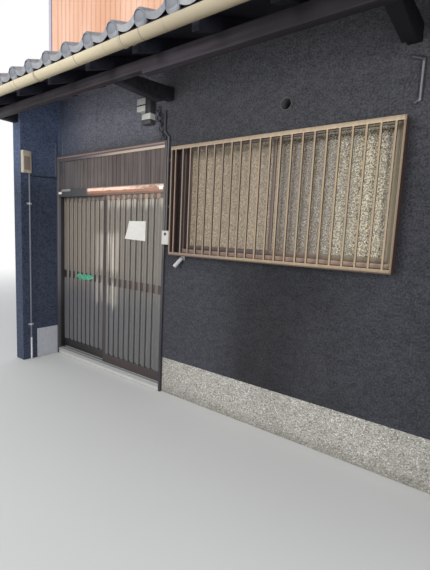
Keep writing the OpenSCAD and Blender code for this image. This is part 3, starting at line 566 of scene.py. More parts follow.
conduitLook = {
    "grains": {"blots": (30.0,)},
    "base": (0.060, 0.062, 0.074),
    "zones": [
        (1.0, (0.100, 0.105, 0.135), ("x", -1.9, -2.1)),  # on the wing wall
        (1.0, (0.088, 0.078, 0.078), *band("x", -0.60, -0.48), ("z", 2.25, 2.15)),  # on the door post
        (1.0, (0.50, 0.50, 0.49), below("x", -1.9), below("z", 0.25)),  # the pale foot
        (1.0, (0.020, 0.022, 0.030), below("x", -1.9), above("y", -3.12)),
        (1.0, (0.20, 0.202, 0.21), below("z", 2.501),  # painted highlight: a light line along the end pipe
         *band("x", high["conduits"].x - 0.017, high["conduits"].x - 0.007, 0.004)),
    ],
    "shade": (0.5, (0.5, 1.0, "blots")),
    "shader": {"Roughness": 0.5},
    "bump": (120.0, 0.0005, 0.3),
}

boxLook = {
    "grains": {"marks": ((30, 30, 9), 5.0, 0.65)},
    "base": (0.62, 0.62, 0.57),
    "zones": [
        (1.0, (0.060, 0.060, 0.066), above("x", -0.753), above("z", 2.5275)),  # the dark body
        (1.0, (0.060, 0.060, 0.066), below("z", 2.4785)),  # the foot, dark grey: painted shade
        (1.0, (0.060, 0.060, 0.066), below("x", -0.752), *band("z", 2.600, 2.612)),  # the small box's seam
        (0.4, (0.20, 0.19, 0.17), ("marks", 0.5, 0.75)),
    ],
    "shader": {"Roughness": 0.5},
    "bump": (120.0, 0.0005, 0.3),
}

meterLow, meterHigh = low["meter_box"], high["meter_box"]
meterLook = {
    **boxLook,
    "grains": {"marks": ((20, 20, 5), 5.0, 0.65)},
    "base": (0.42, 0.37, 0.29),
    "zones": [
        (0.75, (0.15, 0.115, 0.10), *band("z", meterLow.z + 0.03, meterLow.z + 0.17),  # the panel
         *band("y", meterLow.y + 0.012, meterHigh.y - 0.012)),
        (0.45, (0.17, 0.14, 0.12), ("marks", 0.45, 0.75)),
    ],
}


def plainPlastic(name, colour, rough=0.5):
    return dressed(name, {
        "grains": {"clouds": (6.0,), "marks": ((12, 12, 4), 5.0, 0.65)},
        "base": (("clouds",), colour, dimmed(colour)),
        "zones": [(0.35, (0.25, 0.22, 0.17), ("marks", 0.55, 0.8))],
        "shader": {"Roughness": rough, "Specular_IOR_Level": 0.45},
        "bump": (120.0, 0.0005, 0.3),
    })


finish = {
    "pebble": pebble(),
    "dark_mortar": mortar(),
    "concrete": dressed("trowelledConcrete", concreteLook),
    "floor_boards": board(),
    "ribbed_siding": dressed("ribbedSiding", sidingLook),
    "bronze_aluminium": slatMetal(),
    "dark_bronze": dressed("postMetal", postLook),
    "worn_copper": dressed("wornCopper", copperLook),
    "transom_board": dressed("transomBoard", transomBoardLook),
    "beige_aluminium": dressed("grilleMetal", grilleLook),
    "figured_glass": doorGlass(),
    "eave_timber": timber("eaveTimber", "eave"),
    "soffit_board": timber("soffitBoard", "roof"),
    "roof_tile": roofTile(),
    "flashing": dressed("foldedSheet", foldedLook),
    "gutter_cream": dressed("gutterCream", gutterLook),
    "gutter_strap": plainPlastic("strapPaint", (0.40, 0.35, 0.25)),
    "cream_plastic": dressed("meterShell", meterLook),
    "dark_conduit": dressed("conduitSkin", conduitLook),
    "white_plastic": plainPlastic("whitePlastic", (0.54, 0.52, 0.49)),
    "zinc": plainPlastic("dullZinc", (0.30, 0.30, 0.295), 0.4),
}
ownFinish = {  # nodes that look different from the rest of their slot
    "window_glass": windowGlass(),
    "window_frames": dressed("windowFrameMetal", windowFrameLook),
    "window_sashes": dressed("sashMetal", windowLook),
    "left_leaf_frame": frameMetal(),
    "transom_head": dressed("transomRail", transomRailLook),
    "rafters": timber("rafterTimber", "roof"),
    "bracket_arms": timber("armTimber", "arm"),
    "service_boxes": dressed("boxShell", boxLook),
    "pole_holder": plainPlastic("paleTube", (0.46, 0.46, 0.46)),
    "vent_sleeve": plainPlastic("ventSleeve", (0.15, 0.15, 0.155)),
}
ownFinish["right_leaf_frame"] = ownFinish["left_leaf_frame"]


def finishOf(nodeName):
    return ownFinish.get(nodeName, finish[slotOf[nodeName]])


for nodeName, node in nodes.items():
    node.data.materials.clear()
    node.data.materials.append(finishOf(nodeName))


print("stage: tools for pieces")


def linked(name, data):  # a new object in the scene
    item = bpy.data.objects.new(name, data)
    bpy.context.scene.collection.objects.link(item)
    return item


def keep(name, mesh, stands=(), body="house"):  # a finished piece, riding on a body
    piece = linked(name, mesh)
    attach(piece, body)
    if stands:
        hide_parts(*stands)


def meshFrom(bm, name, material=None):
    bmesh.ops.recalc_face_normals(bm, faces=bm.faces)
    mesh = bpy.data.meshes.new(name)
    bm.to_mesh(mesh)
    bm.free()
    if material:
        mesh.materials.append(material)
    mesh.shade_smooth()
    mesh.set_sharp_from_angle(angle=math.radians(35))
    return mesh


def merged(nodeName):  # a CAD node's shape, without its doubles
    bm = bmesh.new()
    bm.from_mesh(nodes[nodeName].data)
    bmesh.ops.remove_doubles(bm, verts=bm.verts, dist=1e-5)
    return bm


def roundEdges(bm, width, segments=2, over=None, clamp=False):  # all edges, or those that turn by over degrees
    edges = bm.edges[:]
    if over:
        edges = [e for e in edges if len(e.link_faces) == 2 and e.calc_face_angle(0) > math.radians(over)]
    bmesh.ops.bevel(bm, geom=edges, offset=width, segments=segments, profile=0.6, affect="EDGES",
                    clamp_overlap=clamp)


def softened(nodeName, width):  # a CAD node's shape with its edges rounded
    bm = merged(nodeName)
    bmesh.ops.dissolve_limit(bm, angle_limit=math.radians(1), verts=bm.verts, edges=bm.edges)
    if width:
        roundEdges(bm, width, over=30, clamp=True)
    first, *others = nodeName.split("_")
    name = first + "".join(word.capitalize() for word in others) + "Dressed"
    keep(name, meshFrom(bm, name, finishOf(nodeName)), [nodeName], bodyOf[nodeName])


def addBox(bm, corner0, corner1):
    centre = (Vector(corner0) + Vector(corner1)) / 2
    size = Vector(corner1) - Vector(corner0)
    bmesh.ops.create_cube(bm, size=1, matrix=Matrix.Translation(centre) @ Matrix.Diagonal((*size, 1)))


def addRod(bm, start, end, radius, count=24):
    start, end = Vector(start), Vector(end)
    turn = (end - start).to_track_quat("Z", "Y").to_matrix().to_4x4()
    bmesh.ops.create_cone(bm, cap_ends=True, segments=count, radius1=radius, radius2=radius,
                          depth=(end - start).length, matrix=Matrix.Translation((start + end) / 2) @ turn)


def loft(bm, rings, tip=None):  # a closed skin over rings of points, which may end in a tip
    rings = [[bm.verts.new(spot) for spot in ring] for ring in rings]
    count = len(rings[0])
    for a, b in zip(rings, rings[1:]):
        for k in range(count):
            bm.faces.new([a[k], a[(k + 1) % count], b[(k + 1) % count], b[k]])
    bm.faces.new(rings[0])
    last = rings[-1]
    if tip is None:
        bm.faces.new(last)
    else:
        top = bm.verts.new(tip)
        for k in range(count):
            bm.faces.new([last[k], last[(k + 1) % count], top])


def addPrism(bm, outline, x0, x1):  # an outline of (y, z) points run along X
    loft(bm, [[(x, y, z) for y, z in outline] for x in (x0, x1)])


def arc(radius, count, turn=math.pi, lift=0.0):  # its points as pairs
    return [(radius * math.cos(turn * k / count), lift + radius * math.sin(turn * k / count))
            for k in range(count + 1)]


def circle(radius, count):
    return arc(radius, count, 2 * math.pi)[:-1]


def moved(mesh, matrix):  # a copy somewhere else; a mirrored one keeps its faces outwards
    mesh = mesh.copy()
    mesh.transform(matrix)
    if matrix.determinant() < 0:
        mesh.flip_normals()
    return mesh


def joined(name, meshes, material):
    bm = bmesh.new()
    for mesh in meshes:
        bm.from_mesh(mesh)
    mesh = bpy.data.meshes.new(name)
    bm.to_mesh(mesh)
    bm.free()
    mesh.materials.append(material)
    return mesh


def bothSides(bm, name, material):  # a street-side shape, with the same on the rear side
    mesh = meshFrom(bm, name)
    return joined(name, [mesh, moved(mesh, halfTurn)], material)


# Geometry Nodes helpers
def newTree(name, sizes):  # a tree with named inputs
    tree = bpy.data.node_groups.new(name, "GeometryNodeTree")
    tree.interface.new_socket(name="Geometry", in_out="OUTPUT", socket_type="NodeSocketGeometry")
    kinds = {int: "NodeSocketInt", float: "NodeSocketFloat", tuple: "NodeSocketVector"}
    for label, value in sizes.items():
        tree.interface.new_socket(name=label, in_out="INPUT", socket_type=kinds[type(value)])
    group = tree.nodes.new("NodeGroupInput")
    return tree, {label: Wire(tree, group.outputs[label]) for label in sizes}


def runTree(name, tree, shape, material, sizes):  # realized, painted, and turned into a plain mesh
    solid = shape.add("GeometryNodeRealizeInstances", {}, {"Geometry": shape})
    painted = solid.add("GeometryNodeSetMaterial", {}, {"Geometry": solid, "Material": material})
    end = tree.nodes.new("NodeGroupOutput")
    tree.links.new(painted.socket, end.inputs[0])
    holder = linked(name, bpy.data.meshes.new(name))
    modifier = holder.modifiers.new("build", "NODES")
    modifier.node_group = tree
    for item in tree.interface.items_tree:
        if item.in_out == "INPUT":
            modifier[item.identifier] = sizes[item.name]
    bpy.context.view_layer.update()
    mesh = bpy.data.meshes.new_from_object(holder.evaluated_get(bpy.context.evaluated_depsgraph_get()))
    holder.modifiers.remove(modifier)
    bpy.data.objects.remove(holder)
    return mesh


def placedOn(points, item, play, seed, last=1.0, scale=(1.0, 1.0, 1.0)):  # at points, each a little turned
    shape = points.add("GeometryNodeObjectInfo", {}, {"Object": item}, "Geometry")
    least, most = [play.add("ShaderNodeCombineXYZ", {}, {0: sign * play, 1: sign * play, 2: sign * last * play})
                   for sign in (-1, 1)]
    turn = play.add("FunctionNodeRandomValue", {"data_type": "FLOAT_VECTOR"}, {
        "Min": least, "Max": most, "Seed": seed})
    return points.add("GeometryNodeInstanceOnPoints", {}, {
        "Points": points, "Instance": shape, "Rotation": turn, "Scale": scale})


def spaced(name, mesh, material, count, start, step, scale=(1.0, 1.0, 1.0), play=0.0):  # copies in a line
    sizes = {"Count": count, "Start": start, "Step": step, "Scale": scale, "Play": play, "Seed": 7}
    tree, s = newTree(name, sizes)
    item = linked(name + "Source", mesh)
    line = s["Count"].add("GeometryNodeMeshLine", {}, {
        "Count": s["Count"], "Start Location": s["Start"], "Offset": s["Step"]})
    result = runTree(name, tree, placedOn(line, item, s["Play"], s["Seed"], scale=s["Scale"]), material, sizes)
    bpy.data.objects.remove(item)
    return result


print("stage: roof tiles")

tile = {
    "width": 0.25,
    "firstRoll": 0.245,  # from the roof's left end
    "courses": {"pent": 4, "main": 15},
    "rollRadius": 0.050,
    "rollMiddle": 0.022,
    "rollFoot": 30,  # degrees, where the roll starts
    "panSag": 0.026,
    "thick": 0.014,
    "lap": 0.045,  # how far a tile reaches under the next course
    "seed": 4,
    "jitter": 0.006,
    "discMiddle": 0.030,
    "discRings": ((0.051, 0.002), (0.051, -0.0108), (0.04386, -0.0171), (0.0408, -0.0108),
                  (0.0255, -0.0171)),  # radius, and how far in from the eave
    "discTip": -0.018,
    "apron": 0.036,  # height of the pan's hanging edge
    "apronFaces": (-0.004, -0.014),
}


def tileLine():  # the tile's top line across, roll then pan, from the roll's foot
    r, foot = tile["rollRadius"], math.radians(tile["rollFoot"])
    angles = [math.pi - foot - i * (math.pi - 2 * foot) / 8 for i in range(9)]
    roll = [(r * math.cos(a), tile["rollMiddle"] + r * math.sin(a)) for a in angles]
    x0, z0 = roll[-1]
    span, sag = tile["width"] - 2 * x0, tile["panSag"]
    return roll, [(x0 + span * t, z0 - sag * (1 - (2 * t - 1) ** 2)) for t in [i / 10 for i in range(11)]]


def tileMesh(course, eave):
    p = tile
    roll, pan = tileLine()
    bm = bmesh.new()
    length, t = course + p["lap"], p["thick"]
    back = t * (1 - length / course)  # the upper end lies on the boarding, the lower on the next tile
    loft(bm, [[(x, 0, z + t), (x, length, z + back), (x, length, z + back - t), (x, 0, z)]
              for x, z in roll + pan[1:]])
    if eave:  # the round disc, domed, and the hanging apron of the pan
        middle = p["discMiddle"]
        loft(bm, [[(x, y, middle + z) for x, z in circle(r, 24)] for r, y in p["discRings"]],
             (0, p["discTip"], middle))
        (y0, y1), drop = p["apronFaces"], p["apron"]
        loft(bm, [[(x, y0, z + t), (x, y1, z + t - 0.002), (x, y1, z + t - 0.002 - drop), (x, y0, z + t - drop)]
                  for x, z in pan])
    return meshFrom(bm, "tile")


def tiledSlope(name, kind, run):  # in slope axes: x along the eave, y up the slope, z out of it
    rows = tile["courses"][kind]
    course = run / rows
    sizes = {"Columns": int((2 * vergeX - tile["firstRoll"]) / tile["width"]) + 2, "Rows": rows - 1,
             "Width": tile["width"], "Course": course, "FirstX": tile["firstRoll"] - vergeX - tile["width"],
             "Jitter": tile["jitter"], "Seed": tile["seed"]}
    tree, s = newTree(name, sizes)
    items = [linked(name + label, tileMesh(course, label == "Eave")) for label in ("Eave", "Field")]

    def laid(item, count, shift):
        grid = s["Width"].add("GeometryNodeMeshGrid", {}, {
            "Size X": (s["Columns"] - 1) * s["Width"], "Size Y": (count - 1) * s["Course"],
            "Vertices X": s["Columns"], "Vertices Y": count})
        move = grid.add("ShaderNodeCombineXYZ", {}, {
            0: s["FirstX"] + (s["Columns"] - 1) * s["Width"] / 2, 1: (count - 1) * s["Course"] / 2 + shift})
        spots = grid.add("GeometryNodeTransform", {}, {"Geometry": grid, "Translation": move})
        return placedOn(spots, item, s["Jitter"], s["Seed"], 0.5)

    eaveRow = laid(items[0], 1, 0.0)
    field = laid(items[1], s["Rows"], s["Course"])
    both = s["Width"].add("GeometryNodeJoinGeometry")
    for part in (field, eaveRow):
        tree.links.new(part.socket, both.socket.node.inputs[0])
    mesh = runTree(name, tree, both, finish["roof_tile"], sizes)
    for item in items:
        bpy.data.objects.remove(item)
    bm = bmesh.new()
    bm.from_mesh(mesh)
    for side in (-1, 1):  # the outermost tiles are cut to fit the verges
        cut = bmesh.ops.bisect_plane(bm, geom=[*bm.verts, *bm.edges, *bm.faces], plane_co=(side * vergeX, 0, 0),
                                     plane_no=(side, 0, 0), clear_outer=True)["geom_cut"]
        bmesh.ops.holes_fill(bm, edges=[e for e in cut if isinstance(e, bmesh.types.BMEdge)], sides=0)
    bm.to_mesh(mesh)
    bm.free()
    return mesh


def slopeMatrix(eaveY, eaveZ, slope, rear):  # from slope axes to the house
    place = Matrix.Translation((0, eaveY, eaveZ)) @ Matrix.Rotation(slope, 4, "X")
    return halfTurn @ place if rear else place


def boardingEdge(node):  # the eave line of a slope's boarding: out, height, slope and run
    verts = [v.co for v in nodes[node].data.vertices if v.co.y < 0.001]
    eaveY = min(v.y for v in verts)
    top = max((v for v in verts if abs(v.y - eaveY) < 1e-4), key=lambda v: v.z)
    peak = max(verts, key=lambda v: v.z)
    slope = math.atan2(peak.z - top.z, peak.y - top.y)
    return top.y, top.z, slope, (peak.y - top.y) / math.cos(slope)


eaveLines = {"pent": boardingEdge("pent_decks"), "main": boardingEdge("roof_deck_front")}
for kind, (eaveY, eaveZ, slope, run) in eaveLines.items():
    base = tiledSlope(kind + "Slope", kind, run)
    for rear, side in ((False, "Front"), (True, "Rear")):
        mesh = moved(base, slopeMatrix(eaveY, eaveZ, slope, rear))
        stands = "pent_tiles" if kind == "pent" else "roof_tiles_" + side.lower()
        keep(kind + "Tiles" + side, mesh, [stands])


print("stage: verge, ridge and flashing")

verge = {
    "thick": 0.018,
    "up": 0.055,
    "down": 0.065,
    "start": 0.004,  # from the eave
    "lap": 0.030,
    "tuck": 0.002,  # its upper end slips inwards and down, under the next plate
    "tilt": 0.004,
    "round": 0.004,
}


def vergePlate(course):  # one plate in slope axes, outside of x = 0
    bm = bmesh.new()
    p = verge
    addBox(bm, (-p["thick"], p["start"], -p["down"]), (0, course + p["lap"], p["up"]))
    for v in bm.verts:
        if v.co.y > course:
            v.co += Vector((p["tuck"], 0, -p["tilt"]))
    roundEdges(bm, p["round"])
    return meshFrom(bm, "vergePlate")


def layVerges():
    meshes = []
    clay = finish["roof_tile"]
    for kind, (eaveY, eaveZ, slope, run) in eaveLines.items():
        rows = tile["courses"][kind]
        course = (run - verge["lap"]) / rows
        row = spaced(kind + "Verge", vergePlate(course), clay, rows, (0.0, 0.0, 0.0), (0.0, course, 0.0))
        for rear in (False, True):
            for side in (-1, 1):
                spot = Matrix.Translation((side * vergeX, 0, 0)) @ Matrix.Diagonal((-side, 1, 1, 1))
                meshes.append(moved(row, slopeMatrix(eaveY, eaveZ, slope, rear) @ spot))
    keep("vergePlates", joined("vergePlates", meshes, clay), ["verge_tiles"])


ridge = {
    "width": 0.240,
    "narrower": 0.024,  # each course than the one below
    "course": 0.035,
    "courses": 3,
    "tile": 0.300,
    "joint": 0.003,
    "round": 0.004,
    "bed": (0.006, 0.030),  # how far in from the lowest course, and how high
    "capRadius": 0.068,
    "capTile": 0.290,
    "capLip": (0.006, 0.040),  # how much the lip over the joint stands out, and its length
    "endThick": 0.050,
    "endWidth": 0.320,
    "endHeight": 0.330,
    "endRound": 0.005,
    "face": (0.80, 0.008, 0.1),  # the raised face on an end tile: its share, height, and lift of its foot
    "boss": (0.055, 0.016),  # radius and height
    "crest": 0.075,  # tile crest above the boarding, square to the slope
    "play": 0.003,
}


def crestLine(y):  # height of the tiles' crest at a distance from the ridge line
    eaveY, eaveZ, slope, run = eaveLines["main"]
    return eaveZ + run * math.sin(slope) + ridge["crest"] / math.cos(slope) - abs(y) * math.tan(slope)


def shared(length, piece):  # how many pieces fit on a length, and their pitch
    count = int(length / piece)
    return count, length / count


def endTile(side, half, crown):
    p = ridge
    front = half + p["endThick"]
    shoulder = crown + p["endHeight"] - p["endWidth"] / 2
    share, height, lift = p["face"]
    bm = bmesh.new()
    for size, start, end in ((1.0, half, front), (share, front - 0.002, front + height)):
        w = size * p["endWidth"] / 2
        foot = [(y, crestLine(y) + (1 - size) * lift) for y in (-w, 0, w)]
        addPrism(bm, foot + arc(w, 16, lift=shoulder), *sorted((side * start, side * end)))
    bmesh.ops.recalc_face_normals(bm, faces=bm.faces)
    roundEdges(bm, p["endRound"], over=50)
    radius, out = p["boss"]
    addRod(bm, (side * front, 0, shoulder), (side * (front + out), 0, shoulder), radius)
    return meshFrom(bm, "endTile")


def layRidge():
    p = ridge
    clay = finish["roof_tile"]
    crown = crestLine(0)
    half = vergeX - p["endThick"]
    inset, top = p["bed"]
    w = p["width"] / 2 - inset
    bm = bmesh.new()
    addPrism(bm, [(-w, crestLine(w)), (0, crown), (w, crestLine(w)), (w, crown + top), (-w, crown + top)],
             -half, half)
    meshes = [meshFrom(bm, "ridgeBed")]
    count, pitch = shared(2 * half, p["tile"])
    for i in range(p["courses"]):
        w = (p["width"] - i * p["narrower"]) / 2
        bm = bmesh.new()
        addBox(bm, (p["joint"] / 2, -w, 0.002), (pitch - p["joint"] / 2, w, p["course"] - p["joint"]))
        roundEdges(bm, p["round"], 1)
        shift = pitch / 2 if i % 2 else 0.0  # the joints of the middle course fall between the others
        meshes.append(spaced(f"ridgeCourse{i}", meshFrom(bm, "flatTile"), clay, count - i % 2,
                             (-half + shift, 0.0, crown + i * p["course"]), (pitch, 0.0, 0.0), play=p["play"] / 2))
    count, pitch = shared(2 * half, p["capTile"])
    bm = bmesh.new()
    out, length = p["capLip"]
    addPrism(bm, arc(p["capRadius"] - out, 12), 0.0, pitch)
    addPrism(bm, arc(p["capRadius"], 12), 0.0, length)
    meshes.append(spaced("ridgeCap", meshFrom(bm, "capTile"), clay, count,
                         (-half, 0.0, crown + p["courses"] * p["course"]), (pitch, 0.0, 0.0), play=p["play"]))
    meshes += [endTile(side, half, crown) for side in (-1, 1)]
    keep("ridgePieces", joined("ridgePieces", meshes, clay), ["ridge_tiles"])


fold = {
    "height": 0.080,  # up the wall
    "end": 0.003,  # short of the verges
    "thick": 0.006,
    "bend": ((0.008, 0.026), (0.018, 0.013)),  # out from the wall, and up from the crest of the tiles
    "lip": ((0.003, 0.009), (0.0, 0.004), (0.0, 0.0)),  # back from the outer edge, and up from the foot
}


def foldFlashing():
    p = fold
    least, top = low["pent_flashings"], high["pent_flashings"].z
    crest = top - p["height"]
    outline = [(faceY, top), (faceY - p["thick"], top)]
    outline += [(faceY - out, crest + up) for out, up in p["bend"]]
    outline += [(least.y + back, least.z + up) for back, up in p["lip"]]
    bm = bmesh.new()
    addPrism(bm, [*outline, (faceY, crest)], p["end"] - vergeX, vergeX - p["end"])
    keep("foldedFlashing", bothSides(bm, "foldedFlashing", finish["flashing"]), ["pent_flashings"])


layVerges()
layRidge()
foldFlashing()


print("stage: ribbed siding")

sheet = {
    "heights": (3.185, 5.310),
    "halfWidth": 2.352,
    "pitch": 0.075,
    "ribFoot": 0.036,
    "ribTop": 0.020,
    "ribDepth": 0.0065,
    "sunk": 0.0025,  # the ribs' feet, from the sheet's face
    "opening": (3.850, 4.850),
    "windows": {"Front": (-0.313, 1.377), "Rear": (-0.845, 0.845)},
    "margin": 0.020,  # flat strip round a window
    "endThick": 0.003,
}


def ribMesh():  # one metre of rib
    foot, top, depth = sheet["ribFoot"] / 2, sheet["ribTop"] / 2, sheet["ribDepth"]
    bm = bmesh.new()
    loft(bm, [[(-foot, 0, z), (-top, -depth, z), (top, -depth, z), (foot, 0, z)] for z in (0, 1)])
    return meshFrom(bm, "rib")


def coverUpperWall(side):
    p = sheet
    paint = finish["ribbed_siding"]
    node = "upper_" + side.lower() + "_wall"
    left, right = p["windows"][side]
    z0, z1 = p["heights"]
    firstX = -p["halfWidth"] + p["ribFoot"] / 2
    total = int((2 * p["halfWidth"] - p["ribFoot"]) / p["pitch"]) + 1
    reach = p["margin"] + p["ribFoot"] / 2
    over = [i for i in range(total) if left - reach < firstX + i * p["pitch"] < right + reach]
    runs = [(0, over[0], z0, z1), (over[-1] + 1, total - over[-1] - 1, z0, z1),
            (over[0], len(over), z0, p["opening"][0] - p["margin"]),
            (over[0], len(over), p["opening"][1] + p["margin"], z1)]
    meshes = []
    for k, (start, count, bottom, top) in enumerate(runs):
        meshes.append(spaced(f"ribs{side}{k}", ribMesh(), paint, count,
                             (firstX + start * p["pitch"], faceY - p["sunk"], bottom), (p["pitch"], 0.0, 0.0),
                             (1.0, 1.0, top - bottom)))
    bm = bmesh.new()
    for x in (-roomX, roomX):  # flat sheet over the party walls' ends
        x0, x1 = sorted((x, math.copysign(p["halfWidth"], x)))
        addBox(bm, (x0, faceY - p["endThick"], z0), (x1, faceY, z1))
    meshes.append(meshFrom(bm, "endSheets"))
    mesh = joined("siding" + side, meshes, paint)
    if side == "Rear":
        mesh.transform(halfTurn)
    bm = merged(node)
    bm.from_mesh(mesh)
    bm.to_mesh(mesh)
    bm.free()
    keep("siding" + side, mesh, [node])


trim = {  # on the upper walls' corners
    "wings": ((-0.036, 0.008, -0.011, 0.0), (0.0, 0.007, -0.001, 0.040)),  # x and y past the corner
    "below": 0.020,
    "round": 0.0015,
    "colour": (0.50, 0.46, 0.52),
}


def cornerTrims():
    p = trim
    bm = bmesh.new()
    z0, z1 = sheet["heights"]
    for side in (-1, 1):
        for x0, x1, y0, y1 in p["wings"]:
            xs = sorted((side * (vergeX + x0), side * (vergeX + x1)))
            addBox(bm, (xs[0], faceY + y0, z0 - p["below"]), (xs[1], faceY + y1, z1))
    roundEdges(bm, p["round"])
    keep("cornerTrims", bothSides(bm, "cornerTrims", plainPlastic("trimPaint", p["colour"])))


for side in ("Front", "Rear"):
    coverUpperWall(side)
cornerTrims()


print("stage: softened timber and metal")

edgeRound = {
    "eave_beams": 0.006, "bracket_arms": 0.008, "rafters": 0.004, "window_grille": 0.0015,
    "window_frames": 0.0015, "window_sashes": 0.002, "door_posts": 0.003, "door_sill": 0.001,
    "door_head": 0.002, "transom_head": 0.002, "transom_panel": 0.001,
    "left_leaf_frame": 0.002, "right_leaf_frame": 0.002, "left_leaf_slats": 0.003, "right_leaf_slats": 0.003,
    "meter_box": 0.006, "service_boxes": 0.004, "door_bell": 0.005, "door_step": 0.005,
    "gutters": 0, "gutter_straps": 0, "conduits": 0, "vent_sleeve": 0, "pole_holder": 0.001,
}
for nodeName, width in edgeRound.items():
    softened(nodeName, width)


print("stage: small things on the front")

paper = {
    "corners": ((-1.061, 1.414), (-0.777, 1.402), (-0.777, 1.587), (-1.009, 1.587)),  # from the lower left
    "off": 0.0015,  # from the slats
    "thick": 0.0006,
    "curl": 0.010,  # of the lower left corner
    "curlShare": 1.4,
    "wave": (0.15, 7),  # along the lower edge: its share of the curl, and its turn
    "steps": 10,
    "look": {
        "grains": {"crease": ((9, 9, 25), 4.0, 0.6)},
        "base": (("crease",), (0.62, 0.61, 0.565), (0.5084, 0.5002, 0.4633)),
        "shader": {"Roughness": 0.85},
        "bump": ("crease", 0.003, 0.5),
    },
}


def stuckOn(name, bm, p, finishName, body):  # a thin sheet on a leaf
    bm.normal_update()
    bmesh.ops.solidify(bm, geom=bm.faces, thickness=p["thick"])
    keep(name, meshFrom(bm, name, dressed(finishName, p["look"])), body=body)


def pinPaper():
    p = paper
    bm = bmesh.new()
    n = p["steps"]
    a, b, c, d = [Vector(corner) for corner in p["corners"]]
    share, turn = p["wave"]

    def spot(i, j):
        u, v = i / n, j / n
        x, z = (a * (1 - u) + b * u) * (1 - v) + (d * (1 - u) + c * u) * v
        lift = p["curl"] * (max(0, 1 - p["curlShare"] * (u + v)) ** 2 + share * math.sin(turn * u) * (1 - v))
        return x, low["right_leaf_slats"].y - p["off"] - max(0, lift), z

    rows = [[bm.verts.new(spot(i, j)) for i in range(n + 1)] for j in range(n + 1)]
    for row, above in zip(rows, rows[1:]):
        for i in range(n):
            bm.faces.new([row[i], row[i + 1], above[i + 1], above[i]])
    stuckOn("paperSheet", bm, p, "plainPaper", "right_leaf")


tape = {
    "outline": ((-1.965, 0.955), (-1.93, 0.932), (-1.86, 0.922), (-1.80, 0.926), (-1.74, 0.930), (-1.68, 0.943),
                (-1.638, 0.966), (-1.66, 0.984), (-1.72, 0.992), (-1.80, 0.984), (-1.86, 0.979), (-1.93, 0.984)),
    "off": 0.002,  # from the slats
    "thick": 0.001,
    "look": {
        "grains": {"folds": ((18, 18, 50), 4.0, 0.6)},
        "base": (("folds", 0.45, 0.65), (0.050, 0.25, 0.15), (0.14, 0.42, 0.28)),  # green and faded
        "shader": {"Roughness": 0.4},
        "bump": ("folds", 0.003, 0.6),
    },
}


def stickTape():
    p = tape
    bm = bmesh.new()
    bm.faces.new([bm.verts.new((x, low["left_leaf_slats"].y - p["off"], z)) for x, z in p["outline"]])
    stuckOn("tapeStrip", bm, p, "greenTape", "left_leaf")


knobs = {  # radius, how far in and out from the face, and corners
    "ring": (0.0135, 0.002, 0.002, 24),
    "button": (0.009, 0.0, 0.005, 24),
    "knob": (0.006, 0.002, 0.006, 16),
    "buttonDrop": 0.030,  # from the bell's top
    "knobAt": (-0.812, 2.606),  # on the small box
    "colour": (0.05, 0.05, 0.052),
}


def fitKnobs():
    p = knobs
    least, most = low["door_bell"], high["door_bell"]
    bell = ((least.x + most.x) / 2, least.y, most.z - p["buttonDrop"])
    box = (p["knobAt"][0], low["service_boxes"].y, p["knobAt"][1])
    bm = bmesh.new()
    for (x, y, z), name in ((bell, "ring"), (bell, "button"), (box, "knob")):
        radius, sunk, out, count = p[name]
        addRod(bm, (x, y + sunk, z), (x, y - out, z), radius, count)
    keep("darkKnobs", meshFrom(bm, "darkKnobs", plainPlastic("darkKnob", p["colour"])))


clamps = {  # where, the strap's middle and half size beside the pipe, and colour
    "wing": (((-2.2382, -3.142, 1.737), (-2.2382, -3.142, 0.40)), (-0.010, 0), (0.0015, 0.028),
             (0.40, 0.39, 0.38)),
    "wall": (((-0.505, -2.8118, 1.72), (-0.505, -2.8118, 2.12)), (0, 0.010), (0.028, 0.0015),
             (0.100, 0.092, 0.092)),
}
clampRadius, clampHalf = 0.0125, 0.010  # half the height


def fitClamps():
    for wall, (spots, (atX, atY), (halfX, halfY), colour) in clamps.items():
        bm = bmesh.new()
        for x, y, z in spots:
            z0, z1 = z - clampHalf, z + clampHalf
            addRod(bm, (x, y, z0), (x, y, z1), clampRadius, 20)
            addBox(bm, (x + atX - halfX, y + atY - halfY, z0), (x + atX + halfX, y + atY + halfY, z1))
        name = wall + "Clamps"
        keep(name, meshFrom(bm, name, plainPlastic(name, colour)))


strips = {
    "corners": (((-2.160, -2.806, 2.295), (-2.148, -2.800, 2.890)),
                ((-2.250, -2.842, 2.07), (-2.244, -2.828, 2.44)),
                ((-0.7525, -2.868, 2.530), (-0.7485, -2.863, 2.694))),  # the dark box's bright edge
    "round": 0.001,
    "colour": (0.120, 0.135, 0.170),
}


def fitStrips():
    bm = bmesh.new()
    for corner0, corner1 in strips["corners"]:
        addBox(bm, corner0, corner1)
    roundEdges(bm, strips["round"], 1)
    keep("edgeStrips", meshFrom(bm, "edgeStrips", plainPlastic("stripPaint", strips["colour"])))


bundle = {  # cables clipped to the wall beside the door post's conduit
    "from": (-0.640, 2.585),
    "to": (-0.560, 2.300),
    "cables": ((0.000, 0.016, 0.0), (0.012, 0.022, 1.9), (-0.012, 0.018, 3.7)),  # shift, sway, phase
    "off": (0.0065, 0.011, 0.003),  # from the wall, from each other, and the sway
    "settle": 0.6,  # how much less they sway at the foot
    "radius": 0.0055,
    "turns": 3.2,
    "steps": 40,
    "colour": (0.030, 0.030, 0.040),
}


